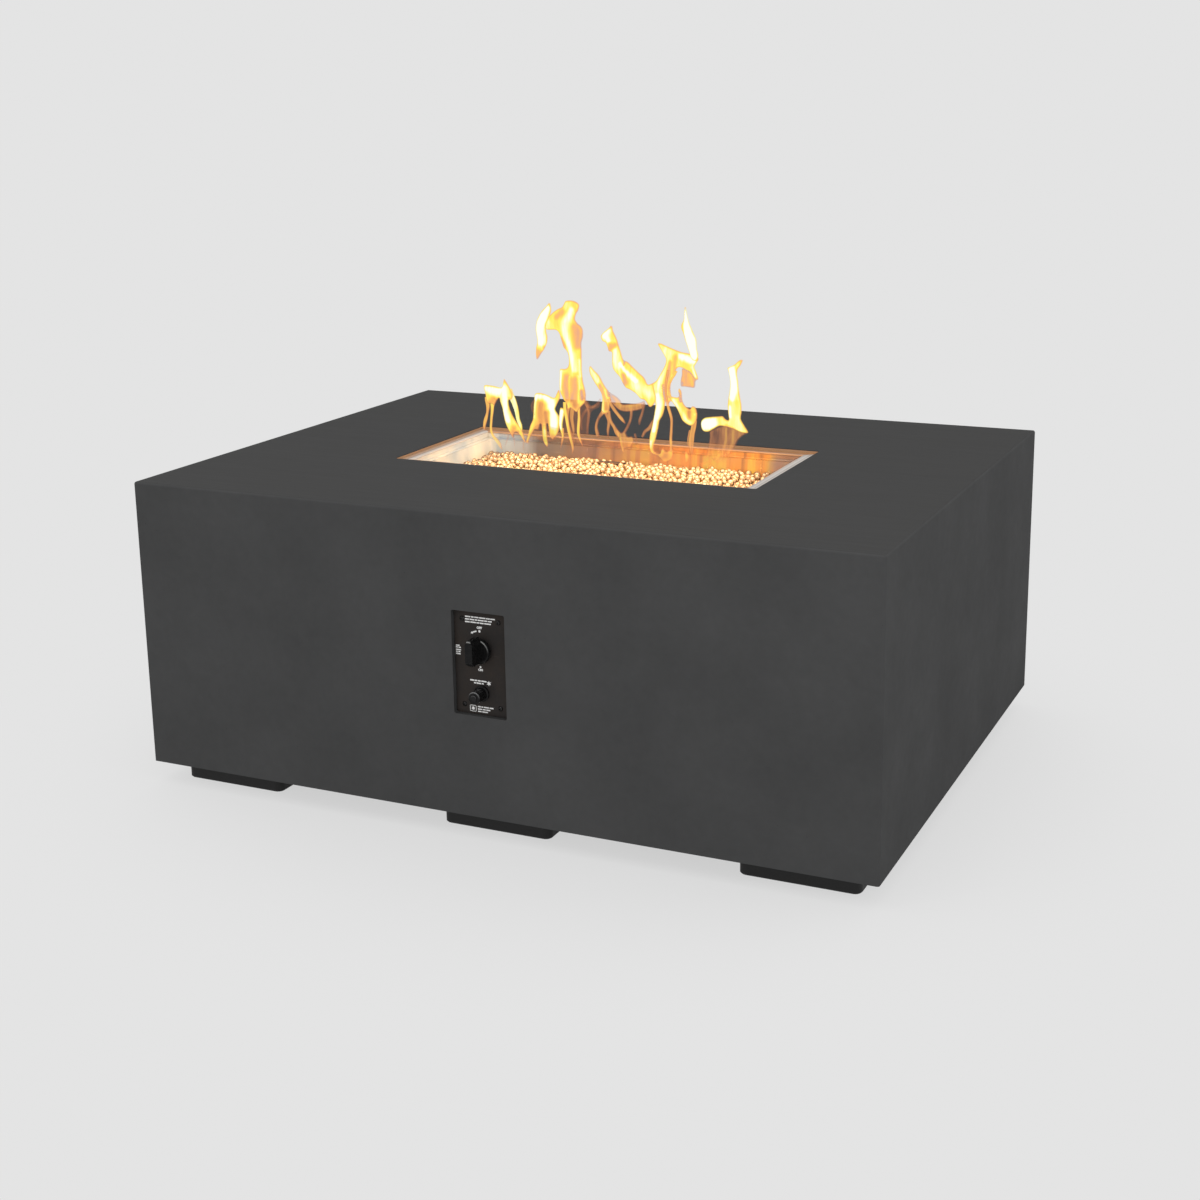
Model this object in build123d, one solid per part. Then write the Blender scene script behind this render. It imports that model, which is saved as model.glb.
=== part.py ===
from build123d import *
import math
import os

# Floor-standing gas fire table: a cast concrete shell on six block feet, a drop-in burner pan
# with a hollow H-shaped burner under fire glass, and a recessed control panel that carries a
# turn-and-push gas valve and a battery spark igniter.
# Millimetres, +Z up, front towards -Y. The origin is on the floor under the middle of the
# whole object, so the shell's own middle lies BODY_Y behind it.

# ---------------------------------------------------------------- cast shell and feet
BODY_L = 1220.0          # left to right
BODY_W = 914.0           # front to back
BODY_H = 466.0           # underside rim to table top
WALL = 22.0              # cast side wall
SLAB = 40.0              # cast table top
EDGE_R = 4.0             # eased outer arrises
COVE_R = 10.0            # coved inner corners of the casting

FOOT_L = 182.0
FOOT_W = 90.0
FOOT_H = 36.0
FOOT_R = 12.0            # plan corner radius
FOOT_INSET = 37.0        # foot to the outside of the shell, on both sides of a corner
FOOT_EASE = 2.0          # chamfer round the sole
FOOT_BOLT_PITCH = 110.0  # along the foot
FOOT_BORE_DEPTH = 14.0   # counterbore that hides the bolt head
FOOT_BOLT_R = 4.0
FOOT_BOLT_HEAD = 5.3
FOOT_BOLT_AF = 13.0
NUT_H = 6.5

# ---------------------------------------------------------------- welded base frame
RAIL_LEG = 30.0          # leg of the steel angle
RAIL_T = 3.0
FRAME_FIT = 0.3          # frame to cast wall
CROSS_X = 300.0          # cross rails, left and right of the middle
FOOT_PLATE_T = 4.0
FRAME_BOLT_R = 3.0
FRAME_BOLT_HOLD = 12.0   # length inside the cast wall
FRAME_BOLT_X = 200.0     # on the front and rear rails
FRAME_BOLT_Y = 220.0     # on the side rails
FRAME_BOLT_UP = 17.0     # above the underside rim
BOLT_PLAY = 0.2          # bolt shank to its hole

# ---------------------------------------------------------------- burner pan
OPENING_L = 635.0        # rebate in the table top
OPENING_W = 305.0
REBATE = 6.0             # depth of the rebate
LEDGE = 19.0             # width of the rebate's ledge
PAN_T = 1.5              # sheet
PAN_FIT = 2.0            # pan to casting, all round
THROAT_H = 11.0          # straight collar under the flange
SHELF = 9.5              # step between collar and bowl
BOWL_H = 73.0
BOWL_DRAFT = 10.0        # how far each bowl wall leans in
PAN_R = 4.0              # plan corners
FOLD_R = 0.6             # inside radius of the rim's folds
DRAIN_R = 3.0
DRAIN_IN = 40.0          # drain holes from the bowl corners

# ---------------------------------------------------------------- burner and its feed
BURNER_L = 440.0
BURNER_PITCH = 104.0     # between the two long tubes
BURNER_R = 11.0
SADDLE_FIT = 0.05        # saddle round the tube
BURNER_CROSS_R = 9.5     # tube that joins the two
BURNER_T = 1.2
BURNER_CLEAR = 5.5       # under the tubes
PORT_R = 1.5
PORT_STEP = 40.0
HUB_R = 16.0
HUB_DROP = 13.0          # hub below the tube centre
NIPPLE_R = 10.65
NIPPLE_BORE = 7.5
NIPPLE_BELOW = 16.0      # nipple below the pan floor
LOCKNUT_AF = 30.0
LOCKNUT_H = 6.0
THREAD_FIT = 0.1         # radial room round every smooth "thread"
ELBOW_R = 14.0
ELBOW_ARM = 24.0
ELBOW_BEND = 15.0        # bend radius of the elbow's middle line
MIXER_R = 12.0
MIXER_L = 52.0
MIXER_WINDOW = 9.0
SPIGOT = 8.0             # mixer inside the elbow
FEED_R = 4.75            # rigid feed tube
FEED_T = 0.9
FEED_BEND = 30.0
FLARE_R = 7.94           # male flare thread
FLARE_L = 10.0
FEED_NUT_AF = 19.0
FEED_NUT_L = 18.0

# ---------------------------------------------------------------- ignition in the pan
HOOD_L = 47.0
HOOD_D = 14.0
HOOD_LIP = 5.0
HOOD_T = 1.5
HOOD_X = -28.0
HOOD_Y = 76.0            # middle of the hood, behind the rear burner tube
HOOD_FOOT = 12.0
HOOD_DROP = 29.8         # top of the hood below the table top
PROBE_SPAN = 24.0        # electrode to thermocouple
CERAMIC_R = 3.6
PROBE_COLLAR = 1.6       # collar beyond the probe, on the pan floor
ELECTRODE_R = 1.1
THERMO_R = 3.0
PROBE_BELOW = 18.0       # tails under the pan
PROBE_GAP = 6.0          # probe tips under the hood
PROBE_FIT = 0.4

# ---------------------------------------------------------------- fire glass
GLASS_CREST = 30.0       # flat middle of the heap below the table top
GLASS_BROW = 5.5         # first fall, gentle
GLASS_BROW_IN = 62.0     # where it starts, in from the walls
GLASS_SIDE = 4.0         # second fall, steeper, down to the walls
GLASS_SIDE_IN = 15.0
GLASS_FIT = 0.4          # glass to everything it is heaped round

# ---------------------------------------------------------------- control panel
PANEL_L = 88.0           # pocket width
PANEL_H = 160.0          # pocket height
PANEL_DROP = 146.0       # pocket below the table top
PANEL_SET = 8.0          # panel face behind the shell face
PANEL_T = 2.0
PANEL_FIT = 0.6
PANEL_R = 3.0
PORTAL_L = 48.0          # opening behind the panel
PORTAL_H = 130.0
SCREW_IN = 14.0          # panel screws from the pocket's sides
SCREW_R = 2.0
SCREW_HEAD_R = 4.0
SCREW_HEAD_H = 2.6
SCREW_L = 9.0
INSERT_R = 3.5
INSERT_L = 9.5
KNOB_DROP = 59.0         # knob axis below the pocket's top
IGNITER_DROP = 126.0     # igniter axis below the pocket's top

# ---------------------------------------------------------------- valve, along its own axis
RUN = 0.05               # running fit, radial
PUSH_L = 4.0             # push of the knob before it turns
BONNET_T = 5.0
BONNET_L = 34.0          # square flange
NOSE_R = 8.0
NOSE_H = 4.6             # nose in front of the panel
LOCK_H = 3.5
LOCK_AF = 22.0
BONNET_SCREW_R = 1.75
BONNET_SCREW_L = 13.0
BONNET_SCREW_AT = 12.5
CHAMBER_R = 10.2
CHAMBER_L = 17.0
PLUG_R1 = 9.6
PLUG_R2 = 6.8
PLUG_L = 28.0
PLUG_BACK = 0.5          # plug behind the chamber floor
PLUG_PORT_R = 3.5
PLUG_PORT_AT = 17.5      # port plane behind the plug's front
PLUG_BORE_R = 3.6
SLOT_L = 7.0
TANG_T = 3.0
TANG_FIT = 0.1
TANG_L = 7.0
BODY_R = 16.0
TAIL_R = 14.0
TAIL_L = 26.0            # magnet chamber
WEB_L = 4.0              # between plug seat and magnet chamber
MAGNET_R = 7.9
BOSS_R = 10.5
BOSS_OUT = 27.0          # port bosses from the valve axis
PORT_THREAD_R = 6.4
STEM_R = 3.0
STEM_FLAT = 2.0          # flat of the D from the axis
COLLAR_R = 7.0
COLLAR_T = 2.0
SEAT_GAP = 0.3           # rest gap of a sprung part to its stop
SPRING_R = 5.4
SPRING_WIRE = 0.6
SPRING_TURNS = 4.0

# ---------------------------------------------------------------- knob
KNOB_R = 19.5
KNOB_GAP = 5.5           # skirt in front of the panel
SKIRT_H = 7.1
SKIRT_LEAN = 0.8
SKIRT_CAVITY_R = 15.5
SKIRT_CAVITY = 4.3
GRIP_H = 25.4            # grip in front of the skirt
GRIP_W = 14.0
GRIP_NOSE = 24.0         # pointer end from the axis
GRIP_TAIL = 19.0
GRIP_DRAFT = 2.0         # degrees
STEM_GRIP = 15.0         # stem inside the knob

# ---------------------------------------------------------------- spark igniter
BEZEL_R = 12.0
BEZEL_H = 5.0
BARREL_R = 10.0
BARREL_L = 50.0          # behind the panel face
CELL_R = 5.25
CELL_L = 43.5
CELL_NUB = 1.5
CELL_FIT = 0.3
NECK_R = 7.5
NECK_H = 9.0
BARREL_NUT_AF = 26.0
BARREL_NUT_H = 5.0
REAR_T = 3.0
CAP_R = 9.5
CAP_H = 19.0
CAP_FLUTES = 16
FLUTE_DEPTH = 0.6
CAP_SKIRT = 7.0          # cap overlap on the neck
CAP_WEB = 1.2
CAP_LIP = 2.0
CAP_CAVITY_R = 6.6
UNSCREW = 6.0            # cap and cell travel when unscrewed
BUTTON_R = 4.9
BUTTON_FIT = 0.2
BUTTON_PROUD = 1.8
BUTTON_FLANGE_R = 6.2
BUTTON_FLANGE_T = 1.7
BUTTON_TAIL = 3.0
BUTTON_PUSH = 3.0
BUTTON_SPRING_R = 5.6
BUTTON_WIRE = 0.25
CELL_SPRING_R = 4.2
CELL_WIRE = 0.4
TERMINAL_W = 6.3
TERMINAL_T = 0.8
TERMINAL_OUT = 8.0
TERMINAL_PITCH = 9.0

# ---------------------------------------------------------------- gas inlet
INLET_R = 9.0            # elbow body
INLET_REACH = 20.0       # elbow axis outside the port boss
INLET_DROP = 17.0        # elbow body below the valve axis
INLET_THREAD_L = 22.0    # hexagon and male flare together
INLET_HEX = 6.0
INLET_BEND = 10.0
INLET_BORE = 4.2

# ---------------------------------------------------------------- places that follow
RIM_Z = FOOT_H
TOP_Z = FOOT_H + BODY_H
FRONT_Y = -BODY_W / 2
PANEL_Y = FRONT_Y + PANEL_SET                    # front face of the panel
PANEL_MID_Z = TOP_Z - PANEL_DROP - PANEL_H / 2
KNOB_Z = TOP_Z - PANEL_DROP - KNOB_DROP
IGNITER_Z = TOP_Z - PANEL_DROP - IGNITER_DROP
GRIP_TOP = KNOB_GAP + SKIRT_H + GRIP_H           # furthest point in front of the panel
BODY_Y = (GRIP_TOP - PANEL_SET) / 2              # shell's middle behind the origin

LEDGE_Z = TOP_Z - REBATE
SHELF_Z = LEDGE_Z - THROAT_H
PAN_Z = SHELF_Z - BOWL_H                         # underside of the pan floor
FLOOR_Z = PAN_Z + PAN_T
THROAT_L = OPENING_L - 2 * LEDGE - 2 * PAN_FIT
THROAT_W = OPENING_W - 2 * LEDGE - 2 * PAN_FIT
BOWL_L = THROAT_L - 2 * PAN_T - 2 * SHELF        # bowl mouth, inside
BOWL_W = THROAT_W - 2 * PAN_T - 2 * SHELF
BURNER_Z = FLOOR_Z + BURNER_CLEAR + BURNER_R
GLASS_Z = TOP_Z - GLASS_CREST
HOOD_TOP = TOP_Z - HOOD_DROP

PANEL_BACK = -PANEL_T                            # from here on along the panel's own normal
BODY_FRONT = PANEL_BACK - BONNET_T
CHAMBER_END = BODY_FRONT - CHAMBER_L
PLUG_FRONT = CHAMBER_END - PLUG_BACK
PLUG_END = PLUG_FRONT - PLUG_L
OUTLET_AT = PLUG_FRONT - PLUG_PORT_AT
MAGNET_FRONT = PLUG_END - WEB_L - PLUG_BACK
TAIL_END = MAGNET_FRONT - TAIL_L
INLET_AT = MAGNET_FRONT - TAIL_L * 0.45
COLLAR_FRONT = BODY_FRONT - SEAT_GAP
COLLAR_BACK = COLLAR_FRONT - COLLAR_T
FEED_Y = PANEL_Y - OUTLET_AT                     # outlet port plane behind the panel
ELBOW_Z = PAN_Z - NIPPLE_BELOW - ELBOW_BEND
MIXER_Y = -ELBOW_ARM - MIXER_L

CENTRE = Align.CENTER
MIN = Align.MIN


# ---------------------------------------------------------------- shapes used again and again
def block(x0, x1, y0, y1, z0, z1):
    return Pos(x0, y0, z0) * Box(x1 - x0, y1 - y0, z1 - z0, align=(MIN, MIN, MIN))


def rod(r, z0, z1, x=0.0, y=0.0):
    return Pos(x, y, z0) * Cylinder(r, z1 - z0, align=(CENTRE, CENTRE, MIN))


def rod_y(r, y0, y1, x=0.0, z=0.0):
    return Pos(x, y1, z) * Rot(90, 0, 0) * rod(r, 0, y1 - y0)


def rod_x(r, x0, x1, y=0.0, z=0.0):
    return Pos(x0, y, z) * Rot(0, 90, 0) * rod(r, 0, x1 - x0)


def hexagon(across, z0, z1):
    return Pos(0, 0, z0) * extrude(RegularPolygon(across / 2, 6, major_radius=False), z1 - z0)


def turned(points):
    """A lathe part from (radius, height) points."""
    return revolve(make_face(Plane.XZ * Polyline(*points, close=True)), Axis.Z)


def plate(length, width, r, z0, z1):
    return Pos(0, 0, z0) * extrude(RectangleRounded(length, width, r), z1 - z0)


def funnel(l0, w0, z0, l1, w1, z1, r):
    """A rounded rectangle that grows from z0 to z1."""
    low = Plane.XY.offset(z0) * RectangleRounded(l0, w0, r)
    high = Plane.XY.offset(z1) * RectangleRounded(l1, w1, r)
    return loft([low, high])


def coil(r0, r1, wire, z0, z1, turns):
    """A spring whose six-sided wire just reaches from z0 to z1."""
    height = z1 - z0 - 2 * wire
    lean = math.degrees(math.atan((r0 - r1) / height))
    path = Helix(height / turns, height, r0, cone_angle=-lean)
    section = Plane(origin=path @ 0, z_dir=path % 0) * RegularPolygon(wire, 6)
    return Pos(0, 0, z0 + wire) * sweep(section, path=path, is_frenet=True)


def on_panel(part, z):
    """From the panel's own frame (x right, y up, z out of the face) into the object's frame."""
    return Location((0, PANEL_Y, z), (90, 0, 0)) * part


def corners(x, y):
    return [(sx * x, sy * y) for sx in (-1, 1) for sy in (-1, 1)]


# ---------------------------------------------------------------- shell
def panel_screw_places():
    return corners(PANEL_L / 2 - SCREW_IN, PANEL_H / 2 - SCREW_IN)


def frame_bolt_places():
    """(x, y, turn) of each bolt, on the inside of the wall that it enters."""
    x, y = BODY_L / 2 - WALL, BODY_W / 2 - WALL
    front = [(s * FRAME_BOLT_X, -y, 0) for s in (-1, 1)]
    rear = [(s * FRAME_BOLT_X, y, 180) for s in (-1, 1)]
    left = [(-x, s * FRAME_BOLT_Y, -90) for s in (-1, 1)]
    right = [(x, s * FRAME_BOLT_Y, 90) for s in (-1, 1)]
    return front + rear + left + right


def at_wall(part, place):
    """Place a part whose +Z points out through the wall."""
    x, y, turn = place
    return Location((x, y, RIM_Z + FRAME_BOLT_UP), (0, 0, turn)) * Rot(90, 0, 0) * part


def concrete_shell():
    body = Pos(0, 0, RIM_Z) * Box(BODY_L, BODY_W, BODY_H, align=(CENTRE, CENTRE, MIN))
    body = fillet(body.edges().filter_by(Axis.Z) + body.faces().sort_by(Axis.Z)[-1].edges(), EDGE_R)
    hollow = Pos(0, 0, RIM_Z) * Box(
        BODY_L - 2 * WALL, BODY_W - 2 * WALL, BODY_H - SLAB, align=(CENTRE, CENTRE, MIN)
    )
    hollow = fillet(hollow.edges().filter_by(Axis.Z), COVE_R)
    hollow = fillet(hollow.faces().sort_by(Axis.Z)[-1].edges(), COVE_R)
    body -= hollow
    body -= plate(OPENING_L, OPENING_W, PAN_R, LEDGE_Z, TOP_Z + 1)
    body -= plate(OPENING_L - 2 * LEDGE, OPENING_W - 2 * LEDGE, PAN_R, TOP_Z - SLAB - 1, TOP_Z)
    pocket = plate(PANEL_L, PANEL_H, PANEL_R, PANEL_BACK, PANEL_SET + 1)
    portal = plate(PORTAL_L, PORTAL_H, PANEL_R, PANEL_SET - WALL - 1, 0)
    body -= on_panel(pocket + portal, PANEL_MID_Z)
    for x, y in panel_screw_places():
        hole = rod(INSERT_R + THREAD_FIT, PANEL_BACK - INSERT_L, PANEL_BACK + 1, x, y)
        body -= on_panel(hole, PANEL_MID_Z)
    for place in frame_bolt_places():
        body -= at_wall(rod(FRAME_BOLT_R + BOLT_PLAY, -1, FRAME_BOLT_HOLD + 1), place)
    return body


# ---------------------------------------------------------------- base frame and feet
def angle_rail(length):
    """Steel angle along X: one leg flat on z = 0, the other standing on y = 0."""
    outline = Polyline(
        (0, 0), (RAIL_LEG, 0), (RAIL_LEG, RAIL_T), (RAIL_T, RAIL_T), (RAIL_T, RAIL_LEG), (0, RAIL_LEG), close=True
    )
    face = make_face(outline)
    root = face.vertices().sort_by_distance((RAIL_T, RAIL_T))[0]
    face = fillet(root, RAIL_T)
    return Pos(-length / 2, 0, 0) * extrude(Plane.YZ * face, length)


FRAME_X = BODY_L / 2 - WALL - FRAME_FIT
FRAME_Y = BODY_W / 2 - WALL - FRAME_FIT
LONG_RAIL = 2 * (BODY_L / 2 - WALL - COVE_R)
SHORT_RAIL = 2 * (FRAME_Y - RAIL_LEG)


def rail(length, place, turn):
    piece = Location((*place, RIM_Z), (0, 0, turn)) * angle_rail(length)
    for spot in frame_bolt_places():
        piece -= at_wall(rod(FRAME_BOLT_R + BOLT_PLAY, -RAIL_T - 1, 1), spot)
    return piece


def foot_places():
    """(name, x, y) of each foot's middle."""
    x = BODY_L / 2 - FOOT_INSET - FOOT_L / 2
    y = BODY_W / 2 - FOOT_INSET - FOOT_W / 2
    rows = (("front", -y), ("rear", y))
    return [(f"foot_{row}_{side}", sx * x, sy) for row, sy in rows for side, sx in
            (("left", -1), ("centre", 0), ("right", 1))]


def foot_bolt_places():
    return [(x + s * FOOT_BOLT_PITCH / 2, y) for _, x, y in foot_places() for s in (-1, 1)]


def foot(x, y):
    body = Pos(x, y, 0) * extrude(RectangleRounded(FOOT_L, FOOT_W, FOOT_R), FOOT_H)
    body = chamfer(body.faces().sort_by(Axis.Z)[0].edges(), FOOT_EASE)
    for s in (-1, 1):
        bx = x + s * FOOT_BOLT_PITCH / 2
        body -= rod(FOOT_BOLT_R + BOLT_PLAY, -1, FOOT_H + 1, bx, y)
        body -= rod(FOOT_BOLT_AF * 0.62, -1, FOOT_BORE_DEPTH, bx, y)
    return body


def foot_plates():
    """Plates welded between the rails, one over each foot, for the foot bolts."""
    plates = []
    for _, x, y in foot_places():
        inner_x, inner_y = FRAME_X - RAIL_LEG, FRAME_Y - RAIL_LEG
        x0, x1 = max(x - FOOT_L / 2, -inner_x), min(x + FOOT_L / 2, inner_x)
        y0, y1 = max(y - FOOT_W / 2, -inner_y), min(y + FOOT_W / 2, inner_y)
        piece = block(x0, x1, y0, y1, RIM_Z, RIM_Z + FOOT_PLATE_T)
        for s in (-1, 1):
            bx = x + s * FOOT_BOLT_PITCH / 2
            piece -= rod(FOOT_BOLT_R + BOLT_PLAY, RIM_Z - 1, RIM_Z + FOOT_PLATE_T + 1, bx, y)
        plates.append(piece)
    return plates


def foot_bolts():
    top = RIM_Z + FOOT_PLATE_T + NUT_H + 2
    bolt = hexagon(FOOT_BOLT_AF, FOOT_BORE_DEPTH - FOOT_BOLT_HEAD, FOOT_BORE_DEPTH)
    bolt += rod(FOOT_BOLT_R, FOOT_BORE_DEPTH, top)
    return [Pos(x, y, 0) * bolt for x, y in foot_bolt_places()]


def foot_nuts():
    base = RIM_Z + FOOT_PLATE_T
    nut = hexagon(FOOT_BOLT_AF, base, base + NUT_H)
    nut -= rod(FOOT_BOLT_R + THREAD_FIT / 2, base - 1, base + NUT_H + 1)
    return [Pos(x, y, 0) * nut for x, y in foot_bolt_places()]


def frame_bolts():
    """Bolts from the inside, through the standing leg into the cast wall."""
    seat = -FRAME_FIT - RAIL_T
    bolt = hexagon(FRAME_BOLT_R * 10 / 3, seat - FRAME_BOLT_R * 4 / 3, seat)
    bolt += rod(FRAME_BOLT_R, seat, FRAME_BOLT_HOLD)
    return [at_wall(bolt, place) for place in frame_bolt_places()]


# ---------------------------------------------------------------- burner pan and burner
def bowl_size(inset, z):
    """Length and width of the bowl's drafted inside at a height, drawn in by inset."""
    lean = BOWL_DRAFT * (SHELF_Z + PAN_T - z) / (BOWL_H - PAN_T)
    return BOWL_L - 2 * (inset + lean), BOWL_W - 2 * (inset + lean)


def bowl(inset, z0, z1):
    """The bowl's inside, drawn in by inset, between two heights."""
    return funnel(*bowl_size(inset, z0), z0, *bowl_size(inset, z1), z1, PAN_R)


def hood_probes():
    return [HOOD_X - PROBE_SPAN / 2, HOOD_X + PROBE_SPAN / 2]


def rim_outline():
    """Section of the folded rim as (out from the bowl's mouth, height), and its reach."""
    step, reach = (THROAT_L - BOWL_L) / 2, (OPENING_L - BOWL_L) / 2 - PAN_FIT
    outline = Polyline(
        (0, SHELF_Z), (-step, SHELF_Z), (-step, LEDGE_Z), (-reach, LEDGE_Z), (-reach, LEDGE_Z + PAN_T),
        (PAN_T - step, LEDGE_Z + PAN_T), (PAN_T - step, SHELF_Z + PAN_T), (0, SHELF_Z + PAN_T), close=True,
    )
    section = make_face(outline)
    for x, z, r in (
        (-step, SHELF_Z, FOLD_R + PAN_T), (-step, LEDGE_Z, FOLD_R),
        (PAN_T - step, LEDGE_Z + PAN_T, FOLD_R + PAN_T), (PAN_T - step, SHELF_Z + PAN_T, FOLD_R),
    ):
        section = fillet(section.vertices().sort_by_distance((x, z))[0], r)
    return section, reach


def rim_strip(mouth):
    """One folded side of the rim along X, mitred at both ends. Its inner edge, as long as the mouth, is on y = 0."""
    section, reach = rim_outline()
    span = mouth + 2 * reach
    bar = Pos(-span / 2, 0, 0) * extrude(Plane.YZ * section, span)
    half = mouth / 2
    plan = make_face(
        Polyline((-half, 0), (-half - reach, -reach), (half + reach, -reach), (half, 0), close=True)
    )
    return bar & (Pos(0, 0, SHELF_Z - 1) * extrude(plan, LEDGE_Z + PAN_T - SHELF_Z + 2))


def burner_pan():
    pan = bowl(-PAN_T, PAN_Z, SHELF_Z) - bowl(0, FLOOR_Z, SHELF_Z)
    front = Pos(0, -BOWL_W / 2, 0) * rim_strip(BOWL_L)
    right = Pos(BOWL_L / 2, 0, 0) * Rot(0, 0, 90) * rim_strip(BOWL_W)
    for strip in (front, right):
        pan += [strip, Rot(0, 0, 180) * strip]
    floor_x = BOWL_L / 2 - BOWL_DRAFT - DRAIN_IN
    floor_y = BOWL_W / 2 - BOWL_DRAFT - DRAIN_IN
    for x, y in corners(floor_x, floor_y):
        pan -= rod(DRAIN_R, PAN_Z - 1, FLOOR_Z + 1, x, y)
    pan -= rod(NIPPLE_R + PROBE_FIT, PAN_Z - 1, FLOOR_Z + 1)
    pan -= rod(CERAMIC_R + PROBE_FIT, PAN_Z - 1, FLOOR_Z + 1, hood_probes()[0], HOOD_Y)
    pan -= rod(THERMO_R + PROBE_FIT, PAN_Z - 1, FLOOR_Z + 1, hood_probes()[1], HOOD_Y)
    return pan


def burner_form(grow, closed):
    """The H of tubes with its hub: the outside, or the gas space where grow is negative."""
    half = BURNER_L / 2 + grow
    y = BURNER_PITCH / 2
    form = rod_x(BURNER_R + grow, -half, half, -y, BURNER_Z)
    form += rod_x(BURNER_R + grow, -half, half, y, BURNER_Z)
    form += rod_y(BURNER_CROSS_R + grow, -y, y, 0, BURNER_Z)
    if closed:
        form += rod(HUB_R + grow, BURNER_Z - HUB_DROP - grow, BURNER_Z)
    return form


def burner_manifold():
    tube = burner_form(0, True) - burner_form(-BURNER_T, False)
    tube -= rod(NIPPLE_R + THREAD_FIT, BURNER_Z - HUB_DROP - 1, BURNER_Z - HUB_DROP / 4)
    tube -= rod(NIPPLE_BORE, BURNER_Z - HUB_DROP, BURNER_Z)
    count = int(BURNER_L / 2 // PORT_STEP)
    top = BURNER_Z + BURNER_R + 1
    for i in range(-count, count + 1):
        for s in (-1, 1):
            tube -= rod(PORT_R, BURNER_Z, top, i * PORT_STEP, s * BURNER_PITCH / 2)
    for s in (-1, 1):
        tube -= rod(PORT_R, BURNER_Z, top, 0, s * BURNER_PITCH / 5)
    return tube


def saddle(grow):
    """One of four cradles that carry the long tubes off the pan floor."""
    w, d = 12.0 + 2 * grow, 16.0 + 2 * grow
    return block(-w / 2, w / 2, -d / 2, d / 2, FLOOR_Z, BURNER_Z - BURNER_R / 3)


def saddle_places():
    return corners(BURNER_L * 0.36, BURNER_PITCH / 2)


def burner_saddles():
    cradle = saddle(0) - rod_x(BURNER_R + SADDLE_FIT, -20, 20, 0, BURNER_Z)
    return [Pos(x, y, 0) * cradle for x, y in saddle_places()]


def burner_nipple():
    low = PAN_Z - NIPPLE_BELOW
    pipe = rod(NIPPLE_R, low, BURNER_Z - HUB_DROP / 4 - SEAT_GAP)
    return pipe - rod(NIPPLE_BORE, low - 1, BURNER_Z + 1)


def burner_locknut():
    nut = hexagon(LOCKNUT_AF, PAN_Z - LOCKNUT_H, PAN_Z)
    return nut - rod(NIPPLE_R + THREAD_FIT, PAN_Z - LOCKNUT_H - 1, PAN_Z + 1)


def bent_rod(r, bend, *points):
    """A round bar along straight runs joined by arcs."""
    path = FilletPolyline(*points, radius=bend)
    return sweep(Plane(origin=path @ 0, z_dir=path % 0) * Circle(r), path=path)


def burner_elbow():
    """Turns the feed from level to straight up under the pan."""
    top = PAN_Z - LOCKNUT_H - SEAT_GAP
    seat = PAN_Z - NIPPLE_BELOW
    route = ((0, -ELBOW_ARM, ELBOW_Z), (0, 0, ELBOW_Z), (0, 0, top))
    body = bent_rod(ELBOW_R, ELBOW_BEND, *route) - bent_rod(NIPPLE_BORE, ELBOW_BEND, *route)
    body -= rod(NIPPLE_R + THREAD_FIT, seat, top + 1)
    return body - rod_y(MIXER_R - 3 + THREAD_FIT, -ELBOW_ARM - 1, -ELBOW_ARM + SPIGOT, 0, ELBOW_Z)


def air_mixer():
    """Venturi barrel with air windows, an elbow spigot at one end and a male flare at the other."""
    windows = MIXER_L * 0.62
    body = rod(MIXER_R - 3, 0, SPIGOT) + rod(MIXER_R, -MIXER_L, 0)
    body += rod(FLARE_R, -MIXER_L - FLARE_L, -MIXER_L)
    body -= rod(MIXER_R - 5, -windows - MIXER_WINDOW, SPIGOT + 1)
    body -= rod(1.6, -MIXER_L - FLARE_L - 1, -windows)
    body -= rod(FEED_R - FEED_T, -MIXER_L - FLARE_L - 1, -MIXER_L)
    for turn in range(0, 360, 90):
        body -= Rot(0, 0, turn) * Pos(0, 0, -windows) * Rot(0, 90, 0) * rod(MIXER_WINDOW / 2, 0, MIXER_R + 1)
    return Location((0, -ELBOW_ARM, ELBOW_Z), (-90, 0, 0)) * body


def feed_path(z_low):
    far = MIXER_Y - FLARE_L
    points = [(0, far, ELBOW_Z), (0, FEED_Y, ELBOW_Z), (0, FEED_Y, z_low)]
    return FilletPolyline(*points, radius=FEED_BEND)


FEED_LOW = KNOB_Z + BOSS_OUT + 6.0 + FLARE_L


def gas_feed_tube():
    path = feed_path(FEED_LOW)
    ring = Circle(FEED_R) - Circle(FEED_R - FEED_T)
    return sweep(Plane(origin=path @ 0, z_dir=path % 0) * ring, path=path)


def feed_nuts():
    """A nut on each flare, drawn up over the tube."""
    nut = hexagon(FEED_NUT_AF, 1, 1 + FEED_NUT_L)
    nut -= rod(FLARE_R + THREAD_FIT, 0, FLARE_L + SEAT_GAP) + rod(FEED_R + THREAD_FIT, 0, FEED_NUT_L + 2)
    level = Location((0, MIXER_Y, ELBOW_Z), (90, 0, 0)) * nut
    upright = Pos(0, FEED_Y, FEED_LOW - FLARE_L) * nut
    return [level, upright]


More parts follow.
